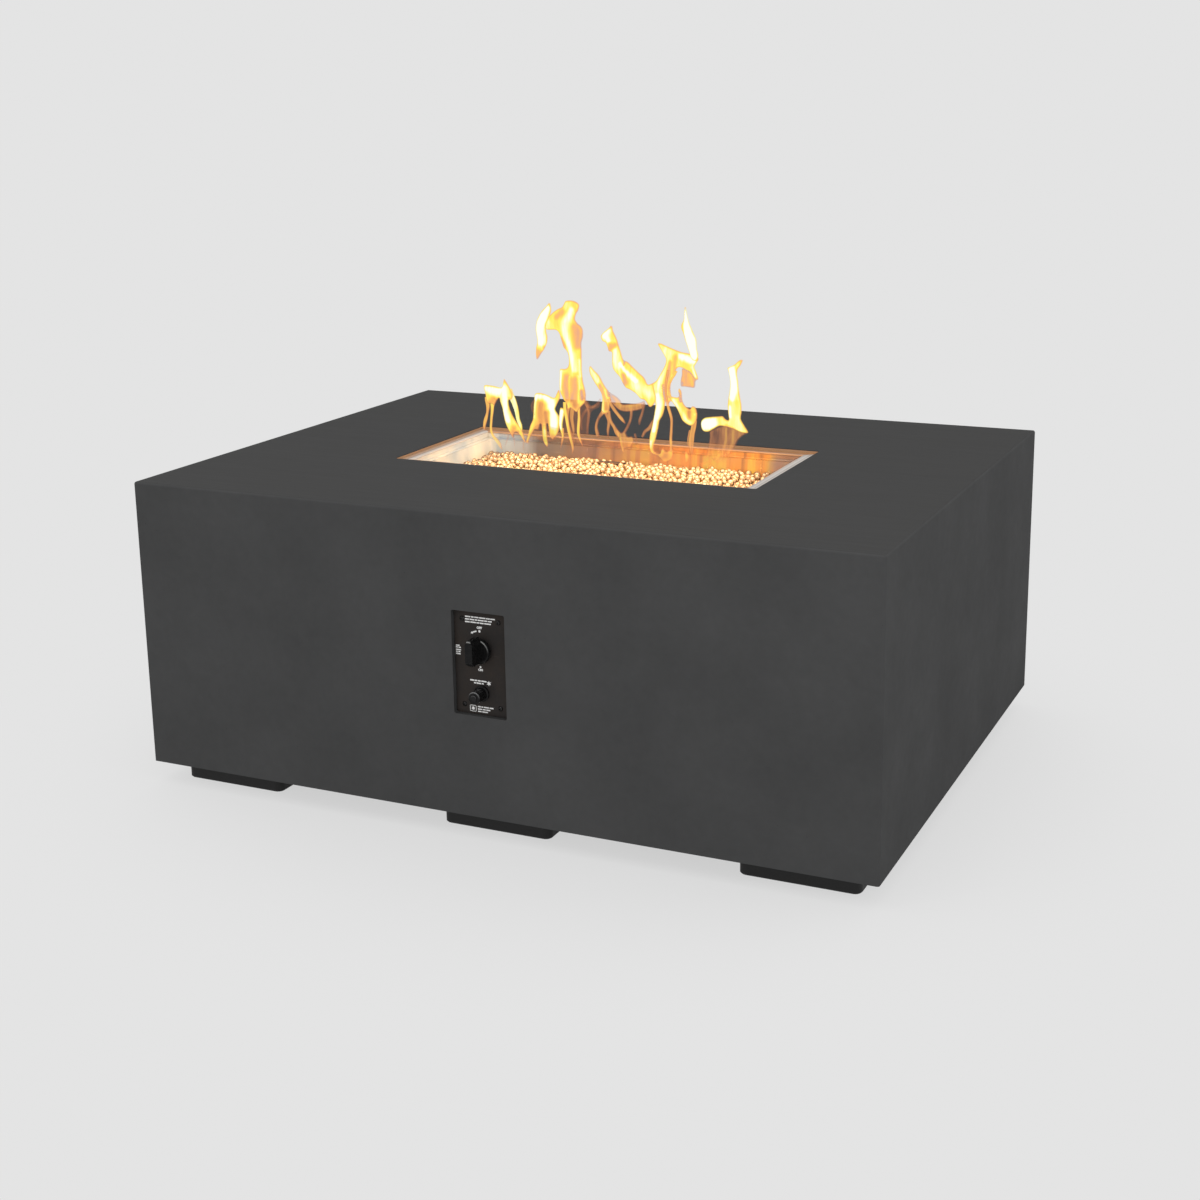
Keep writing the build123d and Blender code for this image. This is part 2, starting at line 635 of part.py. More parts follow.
# ---------------------------------------------------------------- ignition in the pan
def ignition_hood():
    """One bent strip: a foot on the pan floor, an upright and a hood over both probes."""
    back = HOOD_Y + HOOD_D / 2
    lip = HOOD_Y - HOOD_D / 2
    strip = Polyline(
        (back + HOOD_FOOT, FLOOR_Z), (back - HOOD_T, FLOOR_Z), (back - HOOD_T, HOOD_TOP - HOOD_T),
        (lip + HOOD_T, HOOD_TOP - HOOD_T), (lip + HOOD_T, HOOD_TOP - HOOD_LIP), (lip, HOOD_TOP - HOOD_LIP),
        (lip, HOOD_TOP), (back, HOOD_TOP), (back, FLOOR_Z + HOOD_T), (back + HOOD_FOOT, FLOOR_Z + HOOD_T),
        close=True,
    )
    body = extrude(Plane.YZ * make_face(strip), HOOD_L / 2, both=True)
    folds = body.edges().filter_by(Axis.X).filter_by(lambda e: e.center().Z > HOOD_TOP - 0.1)
    return Pos(HOOD_X, 0, 0) * fillet(folds, HOOD_T * 0.9)


def probe_tip():
    return HOOD_TOP - HOOD_T - PROBE_GAP


def electrode_ceramic():
    x = hood_probes()[0]
    collar = rod(CERAMIC_R + PROBE_COLLAR, FLOOR_Z, FLOOR_Z + 3, x, HOOD_Y)
    sleeve = rod(CERAMIC_R, PAN_Z - PROBE_BELOW, probe_tip() - 10, x, HOOD_Y)
    return sleeve + collar - rod(ELECTRODE_R + RUN, PAN_Z - PROBE_BELOW - 1, probe_tip(), x, HOOD_Y)


def electrode_rod():
    x = hood_probes()[0]
    return rod(ELECTRODE_R, PAN_Z - PROBE_BELOW - 6, probe_tip(), x, HOOD_Y)


def thermocouple():
    low, tip = PAN_Z - PROBE_BELOW, probe_tip()
    body = turned([(0, low), (THERMO_R, low), (THERMO_R, tip - THERMO_R), (THERMO_R * 0.5, tip), (0, tip)])
    body += rod(THERMO_R + PROBE_COLLAR, FLOOR_Z, FLOOR_Z + 3)
    return Pos(hood_probes()[1], HOOD_Y, 0) * body


# ---------------------------------------------------------------- fire glass
def fire_glass():
    """The heap of glass: fills the bowl round the burner, flat in the middle and falling to the walls."""
    brow, side = GLASS_Z - GLASS_BROW, GLASS_Z - GLASS_BROW - GLASS_SIDE
    foot, waist, crest = (bowl_size(GLASS_FIT + inset, side) for inset in (0, GLASS_SIDE_IN, GLASS_BROW_IN))
    heap = bowl(GLASS_FIT, FLOOR_Z + GLASS_FIT, side)
    heap += funnel(*foot, side, *waist, brow, PAN_R) + funnel(*waist, brow, *crest, GLASS_Z, PAN_R)
    heap -= burner_form(GLASS_FIT, True)
    heap -= rod(HUB_R + GLASS_FIT, FLOOR_Z - 1, BURNER_Z)
    for x, y in saddle_places():
        heap -= Pos(x, y, 0) * saddle(GLASS_FIT)
    x, y, room = HOOD_X, HOOD_Y, GLASS_FIT
    back = y + HOOD_D / 2
    low = FLOOR_Z - 1
    well = block(x - HOOD_L / 2 - room, x + HOOD_L / 2 + room, y - HOOD_D / 2 - room, back + room, low, TOP_Z)
    well += block(x - HOOD_L / 2 - room, x + HOOD_L / 2 + room, y, back + HOOD_FOOT + room, low,
                  FLOOR_Z + HOOD_T + room)
    return heap - well


# ---------------------------------------------------------------- control panel
def control_panel():
    face = plate(PANEL_L - 2 * PANEL_FIT, PANEL_H - 2 * PANEL_FIT, PANEL_R, PANEL_BACK, 0)
    face -= rod(NOSE_R + THREAD_FIT, PANEL_BACK - 1, 1, 0, KNOB_Z - PANEL_MID_Z)
    face -= rod(BARREL_R + THREAD_FIT, PANEL_BACK - 1, 1, 0, IGNITER_Z - PANEL_MID_Z)
    for x, y in panel_screw_places():
        face -= rod(SCREW_R + BOLT_PLAY, PANEL_BACK - 1, 1, x, y)
    return face


def panel_screws():
    """Domed screws with a hexagon socket."""
    dome = (SCREW_HEAD_R ** 2 + SCREW_HEAD_H ** 2) / (2 * SCREW_HEAD_H)
    head = Pos(0, 0, SCREW_HEAD_H - dome) * Sphere(dome) & rod(SCREW_HEAD_R, 0, SCREW_HEAD_H)
    screw = head + rod(SCREW_R, PANEL_BACK - SCREW_L, 0) - hexagon(2.5, SCREW_HEAD_H - 1.6, SCREW_HEAD_H + 1)
    return [on_panel(Pos(x, y, 0) * screw, PANEL_MID_Z) for x, y in panel_screw_places()]


def panel_inserts():
    sleeve = rod(INSERT_R, PANEL_BACK - INSERT_L, PANEL_BACK)
    sleeve -= rod(SCREW_R + THREAD_FIT / 2, PANEL_BACK - INSERT_L - 1, PANEL_BACK + 1)
    return [on_panel(Pos(x, y, 0) * sleeve, PANEL_MID_Z) for x, y in panel_screw_places()]


# ---------------------------------------------------------------- gas valve
def bonnet_screw_places():
    return corners(BONNET_SCREW_AT, BONNET_SCREW_AT)


def countersunk(z_top, length):
    r = BONNET_SCREW_R
    return turned([(0, z_top), (2 * r, z_top), (r, z_top - r), (r, z_top - length), (0, z_top - length)])


def valve_bonnet():
    body = plate(BONNET_L, BONNET_L, 4, BODY_FRONT, PANEL_BACK) + rod(NOSE_R, PANEL_BACK, NOSE_H)
    body = chamfer(body.edges().group_by(Axis.Z)[-1], 0.8)
    body -= rod(STEM_R + RUN, BODY_FRONT - 1, NOSE_H + 1)
    r = BONNET_SCREW_R + THREAD_FIT
    for x, y in bonnet_screw_places():
        sink = turned([(0, 1), (2 * r, 1), (2 * r, 0), (r, -r), (r, -BONNET_T - 1), (0, -BONNET_T - 1)])
        body -= Pos(x, y, PANEL_BACK) * sink
    return body


def bonnet_screws():
    screw = countersunk(PANEL_BACK - THREAD_FIT, BONNET_SCREW_L)
    return [Pos(x, y, 0) * screw for x, y in bonnet_screw_places()]


def valve_locknut():
    return hexagon(LOCK_AF, 0, LOCK_H) - rod(NOSE_R + THREAD_FIT, -1, LOCK_H + 1)


def plug_cone(grow, z0, z1):
    slope = (PLUG_R1 - PLUG_R2) / PLUG_L
    def radius(z):
        return PLUG_R1 + grow - slope * (PLUG_FRONT - z)
    return turned([(0, z0), (radius(z0), z0), (radius(z1), z1), (0, z1)])


def gas_valve_body():
    """Brass body: bonnet face, spring chamber, plug seat and magnet chamber, with two port bosses."""
    neck = BODY_FRONT - 10
    body = plate(BONNET_L, BONNET_L, 4, neck, BODY_FRONT)
    body += turned([(0, neck), (BODY_R, neck), (BODY_R, OUTLET_AT - BOSS_R), (TAIL_R, MAGNET_FRONT),
                    (TAIL_R, TAIL_END), (0, TAIL_END)])
    body += Pos(0, 0, OUTLET_AT) * Rot(-90, 0, 0) * rod(BOSS_R, 0, BOSS_OUT)
    body += Pos(0, 0, INLET_AT) * Rot(0, -90, 0) * rod(BOSS_R, 0, BOSS_OUT)
    body -= rod(CHAMBER_R, CHAMBER_END, BODY_FRONT + 1)
    body -= plug_cone(RUN, CHAMBER_END, PLUG_END - PLUG_BACK)
    body -= rod(PLUG_BORE_R, MAGNET_FRONT - 1, PLUG_END)
    body -= rod(MAGNET_R + THREAD_FIT, TAIL_END - 1, MAGNET_FRONT)
    body -= Pos(0, 0, OUTLET_AT) * Rot(-90, 0, 0) * (
        rod(PLUG_PORT_R, 0, BOSS_OUT) + rod(PORT_THREAD_R + THREAD_FIT, BODY_R, BOSS_OUT + 1)
    )
    body -= Pos(0, 0, INLET_AT) * Rot(0, -90, 0) * (
        rod(PLUG_PORT_R, 0, BOSS_OUT) + rod(PORT_THREAD_R + THREAD_FIT, BODY_R, BOSS_OUT + 1)
    )
    for x, y in bonnet_screw_places():
        r = BONNET_SCREW_R + THREAD_FIT / 2
        body -= rod(r, PANEL_BACK - BONNET_SCREW_L - 1, BODY_FRONT + 1, x, y)
    return body


def valve_plug():
    """Tapered plug: an axial gas way from behind and two ports a quarter turn apart."""
    body = plug_cone(0, PLUG_END, PLUG_FRONT)
    slot = TANG_T / 2 + TANG_FIT
    reach = STEM_R + TANG_FIT
    body -= block(-slot, slot, -reach, reach, PLUG_FRONT - SLOT_L, PLUG_FRONT + 1)
    body -= rod(PLUG_BORE_R, PLUG_END - 1, OUTLET_AT)
    for turn in (90, 180):
        body -= Pos(0, 0, OUTLET_AT) * Rot(0, 0, turn) * Rot(-90, 0, 0) * rod(PLUG_PORT_R * 0.8, 0, PLUG_R1 + 1)
    return body


def safety_magnet():
    """Cartridge of the flame-failure magnet, with its hexagon outside the tail."""
    body = turned([(0, MAGNET_FRONT - 12), (MAGNET_R - 2, MAGNET_FRONT - 12), (MAGNET_R - 2, TAIL_END + 6),
                   (MAGNET_R, TAIL_END + 6), (MAGNET_R, TAIL_END), (0, TAIL_END)])
    body += hexagon(2 * MAGNET_R + 3, TAIL_END - 5, TAIL_END)
    return body + rod(4.4, TAIL_END - 13, TAIL_END - 5)


def valve_stem():
    """Slides in the bonnet and turns the plug through a flat tang."""
    shank = STEM_R + RUN
    tip = PLUG_FRONT - TANG_L + PUSH_L + 0.5
    top = KNOB_GAP + SKIRT_H + STEM_GRIP
    body = rod(STEM_R, tip, top) + rod(COLLAR_R, COLLAR_BACK, COLLAR_FRONT)
    flat = NOSE_H + PUSH_L
    body -= block(STEM_FLAT, shank, -shank, shank, flat, top + 1)
    for s in (0, 180):
        side = block(TANG_T / 2, shank, -shank, shank, tip - 1, PLUG_FRONT + PUSH_L + 0.5)
        body -= Rot(0, 0, s) * side
    return body


def stem_spring():
    return coil(SPRING_R, SPRING_R - 0.01, SPRING_WIRE, PLUG_FRONT + 0.05, COLLAR_BACK - 0.05, SPRING_TURNS)


def outlet_fitting():
    """Male connector between the valve's top port and the feed tube."""
    body = rod(PORT_THREAD_R, BODY_R + 1, BOSS_OUT) + hexagon(FEED_NUT_AF, BOSS_OUT, BOSS_OUT + 5)
    body += rod(FLARE_R, BOSS_OUT + 5, BOSS_OUT + 6 + FLARE_L)
    body -= rod(FEED_R - FEED_T, BODY_R, BOSS_OUT + 7 + FLARE_L)
    return Pos(0, 0, OUTLET_AT) * Rot(-90, 0, 0) * body


def inlet_elbow():
    """Street elbow in the valve's side port; its male flare points at the floor."""
    axis = BOSS_OUT + INLET_REACH
    low = INLET_DROP + INLET_THREAD_L
    route = ((-BOSS_OUT, 0, 0), (-axis, 0, 0), (-axis, -INLET_DROP, 0))
    body = bent_rod(INLET_R, INLET_BEND, *route)
    body += Rot(0, -90, 0) * rod(PORT_THREAD_R, BODY_R + 1, BOSS_OUT)
    drop = hexagon(FEED_NUT_AF, INLET_DROP, INLET_DROP + INLET_HEX) + rod(FLARE_R, INLET_DROP, low - 2)
    drop += Pos(0, 0, low - 2) * Cone(FLARE_R, FLARE_R - 2, 2, align=(CENTRE, CENTRE, MIN))
    body += Pos(-axis, 0, 0) * Rot(90, 0, 0) * drop
    body -= bent_rod(INLET_BORE, INLET_BEND, *route)
    body -= Rot(0, -90, 0) * rod(INLET_BORE, BODY_R, BOSS_OUT)
    body -= Pos(-axis, 0, 0) * Rot(90, 0, 0) * rod(INLET_BORE, INLET_DROP, low + 1)
    return Pos(0, 0, INLET_AT) * body


# ---------------------------------------------------------------- knob
def control_knob():
    """Round skirt with a sculpted grip: a pointed nose, a rounded tail and a D bore."""
    top = KNOB_GAP + SKIRT_H
    roof = KNOB_GAP + SKIRT_CAVITY
    lean = SKIRT_LEAN
    skirt = turned([(0, roof), (SKIRT_CAVITY_R, roof), (SKIRT_CAVITY_R, KNOB_GAP), (KNOB_R, KNOB_GAP),
                    (KNOB_R, KNOB_GAP + 2), (KNOB_R - lean, top - 1.2), (KNOB_R - lean - 1.2, top), (0, top)])
    w = GRIP_W / 2
    nose = Polyline((w, w - GRIP_TAIL), (w, GRIP_NOSE - w), (w * 0.45, GRIP_NOSE), (-w * 0.45, GRIP_NOSE),
                    (-w, GRIP_NOSE - w), (-w, w - GRIP_TAIL))
    tail = ThreePointArc((-w, w - GRIP_TAIL), (0, -GRIP_TAIL), (w, w - GRIP_TAIL))
    outline = make_face(Curve() + [nose, tail])
    grip = Pos(0, 0, top - 0.6) * extrude(outline, GRIP_H + 0.6, taper=GRIP_DRAFT)
    grip = fillet(grip.faces().sort_by(Axis.Z)[-1].edges(), 1.2)
    side = Polyline((-GRIP_TAIL - 1, top - 1), (GRIP_NOSE + 1, top - 1), (GRIP_NOSE + 1, GRIP_TOP),
                    (-GRIP_TAIL / 2, GRIP_TOP))
    sweep_back = ThreePointArc((-GRIP_TAIL / 2, GRIP_TOP), (-GRIP_TAIL * 0.86, GRIP_TOP - GRIP_H * 0.3),
                               (-GRIP_TAIL - 1, top + 1))
    close = Line((-GRIP_TAIL - 1, top + 1), (-GRIP_TAIL - 1, top - 1))
    profile = make_face(Plane.YZ * (Curve() + [side, sweep_back, close]))
    grip &= extrude(profile, GRIP_W, both=True)
    body = skirt + grip
    reach = top + STEM_GRIP + SEAT_GAP
    bore = rod(STEM_R + RUN, roof - 1, reach)
    bore -= block(STEM_FLAT + RUN, STEM_R + 1, -STEM_R - 1, STEM_R + 1, roof - 2, reach + 1)
    return body - bore


# ---------------------------------------------------------------- spark igniter
NECK_TOP = BEZEL_H + NECK_H
CAP_LOW = NECK_TOP - CAP_SKIRT
CAP_TOP = CAP_LOW + CAP_H
WEB_LOW = NECK_TOP + SEAT_GAP
WEB_TOP = WEB_LOW + CAP_WEB
LIP_LOW = CAP_TOP - CAP_LIP
CELL_TOP = NECK_TOP - CELL_NUB
CELL_LOW = CELL_TOP - CELL_L
BARREL_FLOOR = REAR_T - BARREL_L


def igniter_body():
    """Bezel, threaded barrel and neck in one moulding, bored for the cell."""
    body = turned([(0, -BARREL_L), (BARREL_R, -BARREL_L), (BARREL_R, 0), (BEZEL_R, 0), (BEZEL_R, BEZEL_H - 1.5),
                   (BEZEL_R - 1.5, BEZEL_H), (NECK_R, BEZEL_H), (NECK_R, NECK_TOP), (0, NECK_TOP)])
    body -= rod(CELL_R + CELL_FIT, BARREL_FLOOR, NECK_TOP + 1)
    for s in (-1, 1):
        x = s * TERMINAL_PITCH / 2
        body -= block(x - TERMINAL_T / 2, x + TERMINAL_T / 2, -TERMINAL_W / 2, TERMINAL_W / 2,
                      -BARREL_L - 1, BARREL_FLOOR - 0.8)
    return body


def igniter_terminals():
    """Two blades in the rear wall."""
    blade = block(-TERMINAL_T / 2, TERMINAL_T / 2, -TERMINAL_W / 2, TERMINAL_W / 2,
                  -BARREL_L - TERMINAL_OUT, BARREL_FLOOR - 0.8)
    return [Pos(s * TERMINAL_PITCH / 2, 0, 0) * blade for s in (-1, 1)]


def igniter_locknut():
    nut = hexagon(BARREL_NUT_AF, PANEL_BACK - BARREL_NUT_H, PANEL_BACK)
    return nut - rod(BARREL_R + THREAD_FIT, PANEL_BACK - BARREL_NUT_H - 1, PANEL_BACK + 1)


def igniter_cell():
    return rod(CELL_R, CELL_LOW, CELL_TOP) + rod(1.9, CELL_TOP, NECK_TOP)


def cell_spring():
    return coil(CELL_SPRING_R, CELL_SPRING_R - 1.2, CELL_WIRE, BARREL_FLOOR + 0.05, CELL_LOW - 0.05, 4)


def igniter_cap():
    """Fluted screw cap over the neck, with a web against the cell and a lip round the button."""
    body = turned([(0, CAP_LOW), (CAP_R - 0.6, CAP_LOW), (CAP_R, CAP_LOW + 0.6), (CAP_R, CAP_TOP - 1),
                   (CAP_R - 1, CAP_TOP), (0, CAP_TOP)])
    body -= rod(NECK_R + 2 * RUN, CAP_LOW - 1, WEB_LOW)
    body -= rod(CAP_CAVITY_R, WEB_TOP, LIP_LOW)
    body -= rod(BUTTON_R + BUTTON_FIT, LIP_LOW - 1, CAP_TOP + 1)
    groove = Polyline((FLUTE_DEPTH, -FLUTE_DEPTH), (FLUTE_DEPTH, FLUTE_DEPTH), (-FLUTE_DEPTH, 0), close=True)
    flute = Pos(0, 0, CAP_LOW - 1) * extrude(make_face(groove), CAP_H - 1.5)
    for place in PolarLocations(CAP_R, CAP_FLUTES):
        body -= place * flute
    return body


def igniter_button():
    top = CAP_TOP + BUTTON_PROUD
    flange = LIP_LOW - SEAT_GAP
    low = flange - BUTTON_FLANGE_T - BUTTON_TAIL
    return turned([(0, low), (BUTTON_R, low), (BUTTON_R, flange - BUTTON_FLANGE_T),
                   (BUTTON_FLANGE_R, flange - BUTTON_FLANGE_T), (BUTTON_FLANGE_R, flange), (BUTTON_R, flange),
                   (BUTTON_R, top - 0.8), (BUTTON_R - 0.8, top), (0, top)])


def button_spring():
    top = LIP_LOW - SEAT_GAP - BUTTON_FLANGE_T - 0.05
    return coil(BUTTON_SPRING_R, BUTTON_SPRING_R - 0.01, BUTTON_WIRE, WEB_TOP + 0.05, top, 3)


# ---------------------------------------------------------------- all pieces
def pieces():
    nodes = {"concrete_shell": concrete_shell()}
    nodes["frame_rail_front"] = rail(LONG_RAIL, (0, -FRAME_Y), 0)
    nodes["frame_rail_rear"] = rail(LONG_RAIL, (0, FRAME_Y), 180)
    nodes["frame_rail_left"] = rail(SHORT_RAIL, (-FRAME_X, 0), -90)
    nodes["frame_rail_right"] = rail(SHORT_RAIL, (FRAME_X, 0), 90)
    nodes["frame_cross_left"] = rail(SHORT_RAIL, (-CROSS_X, 0), -90)
    nodes["frame_cross_right"] = rail(SHORT_RAIL, (CROSS_X, 0), 90)
    nodes["frame_bolts"] = frame_bolts()
    nodes["foot_plates"] = foot_plates()
    for name, x, y in foot_places():
        nodes[name] = foot(x, y)
    nodes["foot_bolts"] = foot_bolts()
    nodes["foot_nuts"] = foot_nuts()
    nodes["burner_pan"] = burner_pan()
    nodes["burner_manifold"] = burner_manifold()
    nodes["burner_saddles"] = burner_saddles()
    nodes["burner_nipple"] = burner_nipple()
    nodes["burner_locknut"] = burner_locknut()
    nodes["burner_elbow"] = burner_elbow()
    nodes["air_mixer"] = air_mixer()
    nodes["gas_feed_tube"] = gas_feed_tube()
    nodes["feed_nuts"] = feed_nuts()
    nodes["ignition_hood"] = ignition_hood()
    nodes["electrode_ceramic"] = electrode_ceramic()
    nodes["electrode_rod"] = electrode_rod()
    nodes["thermocouple"] = thermocouple()
    nodes["fire_glass"] = fire_glass()
    nodes["control_panel"] = on_panel(control_panel(), PANEL_MID_Z)
    nodes["panel_screws"] = panel_screws()
    nodes["panel_inserts"] = panel_inserts()
    for make in (valve_bonnet, valve_locknut, gas_valve_body, valve_plug, safety_magnet, valve_stem,
                 stem_spring, outlet_fitting, inlet_elbow, control_knob):
        nodes[make.__name__] = on_panel(make(), KNOB_Z)
    nodes["bonnet_screws"] = [on_panel(screw, KNOB_Z) for screw in bonnet_screws()]
    for make in (igniter_body, igniter_locknut, igniter_cell, cell_spring, igniter_cap, igniter_button,
                 button_spring):
        nodes[make.__name__] = on_panel(make(), IGNITER_Z)
    nodes["igniter_terminals"] = [on_panel(blade, IGNITER_Z) for blade in igniter_terminals()]
    return nodes


def write(name, shape):
    solids = shape if isinstance(shape, list) else [shape]
    moved = [Pos(0, BODY_Y, 0) * s for piece in solids for s in piece.solids()]
    export_step(Compound(children=moved) if len(moved) > 1 else moved[0], f"parts/{name}.step")


os.makedirs("parts", exist_ok=True)
for node, form in pieces().items():
    write(node, form)
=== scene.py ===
"""Dresses a packed gas fire table: a finish for every CAD node, a loose bed of fire glass, the print on
the control panel, weld beads on the hidden frame, the burning gas, and the stage that the table stands on."""

import math

import bmesh
import bpy
from mathutils import Matrix, Vector, geometry, noise


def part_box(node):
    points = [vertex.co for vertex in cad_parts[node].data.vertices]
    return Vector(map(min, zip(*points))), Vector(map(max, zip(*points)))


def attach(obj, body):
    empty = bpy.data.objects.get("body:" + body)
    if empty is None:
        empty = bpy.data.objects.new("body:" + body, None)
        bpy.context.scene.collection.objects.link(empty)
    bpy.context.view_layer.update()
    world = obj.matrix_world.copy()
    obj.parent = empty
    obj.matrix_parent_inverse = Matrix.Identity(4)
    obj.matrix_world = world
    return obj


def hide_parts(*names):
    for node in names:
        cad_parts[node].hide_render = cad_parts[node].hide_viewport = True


bl_info = {
    "name": "Gas fire table",
    "version": (1, 0, 0),
    "blender": (4, 5, 0),
    "location": "View3D > Sidebar > Fire Table",
    "description": "Finishes, fire glass, panel print and stage for a packed gas fire table",
    "category": "Object",
}

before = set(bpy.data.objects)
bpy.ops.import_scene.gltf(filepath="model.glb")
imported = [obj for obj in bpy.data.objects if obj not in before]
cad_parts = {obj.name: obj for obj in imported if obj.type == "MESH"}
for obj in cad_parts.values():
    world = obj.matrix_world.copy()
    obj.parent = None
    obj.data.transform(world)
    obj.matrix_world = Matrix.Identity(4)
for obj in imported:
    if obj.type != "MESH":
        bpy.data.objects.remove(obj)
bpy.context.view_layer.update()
MM = 0.001


# ------------------------------------------------------------------ sizes and colours a user would change


def length(name, about, default):
    """A size in metres."""
    return bpy.props.FloatProperty(name=name, description=about, default=default, unit="LENGTH", precision=4)


def colour(name, about, default):
    """A linear colour."""
    return bpy.props.FloatVectorProperty(
        name=name, description=about, default=default, subtype="COLOR", size=3, min=0.0, max=1.0
    )


def factor(name, about, default, top=1.0):
    """A share or a plain multiplier."""
    return bpy.props.FloatProperty(name=name, description=about, default=default, min=0.0, max=top)


class ConcreteSettings(bpy.types.PropertyGroup):
    """The casting."""

    tone: colour("Concrete", "Colour of the pigmented concrete", (0.0735, 0.0740, 0.0745))
    # Painted shade: a grey darker than the concrete, laid on upward faces so the top renders no brighter than the
    # sides.
    top_shade: colour("Top shade", "Paler, slightly warm lime bloom on the flat top", (0.0470, 0.0465, 0.0452))
    edge_tan: colour("Edge tan", "Brown of the cut edge round the burner", (0.62, 0.36, 0.20))
    pore: length("Pore", "Across one air pore in the cast skin", 0.0012)


class GlassSettings(bpy.types.PropertyGroup):
    """The fire glass."""

    bead: length("Bead", "Across an average tumbled bead", 0.0118)
    gap: length("Spacing", "Least distance between two bead centres of one layer", 0.0098)
    seed: bpy.props.IntProperty(name="Seed", description="Another number pours it anew", default=7, min=0)
    tint: colour("Tint", "Colour of the clearest beads", (0.72, 0.50, 0.31))
    amber: colour("Amber", "Colour of the deepest beads", (0.56, 0.31, 0.13))
    # The rim colour is a painted outline, in place of the darker surroundings that a bead's edge shows.
    rim: colour("Rim", "Colour along a bead's outline, where it is seen edge on", (0.27, 0.145, 0.06))


class PanelSettings(bpy.types.PropertyGroup):
    """The print on the control panel."""

    ink: colour("Ink", "Screen-printed ink", (0.93, 0.93, 0.92))
    film: length("Ink film", "Thickness of the printed ink", 0.00012)


class FlameSettings(bpy.types.PropertyGroup):
    """The burning gas."""

    streaks: factor("Streaks", "How strongly the hotter and cooler streaks tell", 0.36)
    depth: factor("Depth", "Bulge of a sheet in millimetres, a millimetre in from its rim", 1.5, top=10.0)
    pitch: length("Pitch", "Between two points that fill a sheet", 0.0024)
    glow: factor("Glow", "Emission strength of the flames", 1.05, top=10.0)
    mirrored: factor("Mirrored", "Strength that flames gain where metal or glass shows them", 2.0, top=10.0)


class StageSettings(bpy.types.PropertyGroup):
    """Camera, lamps and floor."""

    lens: bpy.props.FloatProperty(name="Lens", description="Focal length in mm", default=54.45, min=1.0)
    backdrop: colour("Backdrop", "Colour behind the table", (0.775, 0.775, 0.775))
    sky: factor("Sky", "Even light from all round", 0.92, top=10.0)
    lamp: factor("Lamp", "Strength of the overhead softbox", 3.5, top=1000.0)
    glint: factor("Glint", "Strength of the two small lamps that draw highlights", 2.0, top=100.0)
    fire: factor("Firelight", "Strength of the flames' light on the fire glass", 1.65, top=100.0)


class FireTableSettings(bpy.types.PropertyGroup):
    """All settings of the fire table."""

    concrete: bpy.props.PointerProperty(type=ConcreteSettings, name="Concrete")
    glass: bpy.props.PointerProperty(type=GlassSettings, name="Fire glass")
    panel: bpy.props.PointerProperty(type=PanelSettings, name="Panel")
    flame: bpy.props.PointerProperty(type=FlameSettings, name="Flames")
    stage: bpy.props.PointerProperty(type=StageSettings, name="Stage")


# ------------------------------------------------------------------ node trees


def feed(tree, node, inputs):
    """Links the values that are sockets to a node's inputs, and sets the others there."""
    for name, value in inputs.items():
        if isinstance(value, bpy.types.NodeSocket):
            tree.links.new(value, node.inputs[name])
        else:
            node.inputs[name].default_value = value
    return node


def put(tree, kind, inputs=None, **settings):
    """Adds a node with its settings and its inputs."""
    node = tree.nodes.new(kind)
    for name, value in settings.items():
        setattr(node, name, value)
    return feed(tree, node, inputs or {})


def maths(tree, operation, first, second=0.0, clamp=False):
    """One Math node's result."""
    return put(tree, "ShaderNodeMath", {0: first, 1: second}, operation=operation, use_clamp=clamp).outputs[0]


def plus(tree, first, second, clamp=False):
    """The sum of two values."""
    return maths(tree, "ADD", first, second, clamp)


def minus(tree, first, second, clamp=False):
    """The first value less the second."""
    return maths(tree, "SUBTRACT", first, second, clamp)


def times(tree, first, *others, clamp=False):
    """The product of values."""
    for other in others:
        first = maths(tree, "MULTIPLY", first, other, clamp)
    return first


def swing(tree, share, reach):
    """A share from 0 to 1 as a swing about 0."""
    return times(tree, minus(tree, share, 0.5), reach)


def vectors(tree, operation, first, second=(0.0, 0.0, 0.0), scale=1.0):
    """One Vector Math node's result."""
    node = put(tree, "ShaderNodeVectorMath", {0: first, 1: second, 3: scale}, operation=operation)
    return node.outputs["Value" if operation == "LENGTH" else "Vector"]


def xyz(tree, vector):
    """The three parts of a vector, by name."""
    return put(tree, "ShaderNodeSeparateXYZ", {"Vector": vector}).outputs


def soft_noise(tree, place, scale, detail, roughness=0.5, distortion=0.0):
    """Cloudy noise from 0 to 1."""
    return put(
        tree, "ShaderNodeTexNoise",
        {"Vector": place, "Scale": scale, "Detail": detail, "Roughness": roughness, "Distortion": distortion},
    ).outputs["Fac"]


def fade(tree, value, start, stop, first=0.0, last=1.0, kind="LINEAR"):
    """First where a value is at its start, last where it is at its stop, and a fade between them."""
    inputs = {"Value": value, "From Min": start, "From Max": stop, "To Min": first, "To Max": last}
    return put(tree, "ShaderNodeMapRange", inputs, interpolation_type=kind).outputs["Result"]


def ramp(tree, value, *stops):
    """A colour ramp's result for stops of (position, colour or grey)."""
    node = put(tree, "ShaderNodeValToRGB", {"Fac": value})
    bar = node.color_ramp.elements
    while len(bar) < len(stops):
        bar.new(1.0)
    for element, (place, shade) in zip(bar, stops):
        element.position = place
        element.color = (*shade, 1.0) if isinstance(shade, tuple) else (shade, shade, shade, 1.0)
    return node.outputs["Color"]


def blend(tree, share, first, second, kind="MIX"):
    """Two colours mixed by a share."""
    first, second = (c if isinstance(c, bpy.types.NodeSocket) else (*c, 1.0) for c in (first, second))
    return put(
        tree, "ShaderNodeMix", {0: share, 6: first, 7: second}, data_type="RGBA", blend_type=kind
    ).outputs[2]


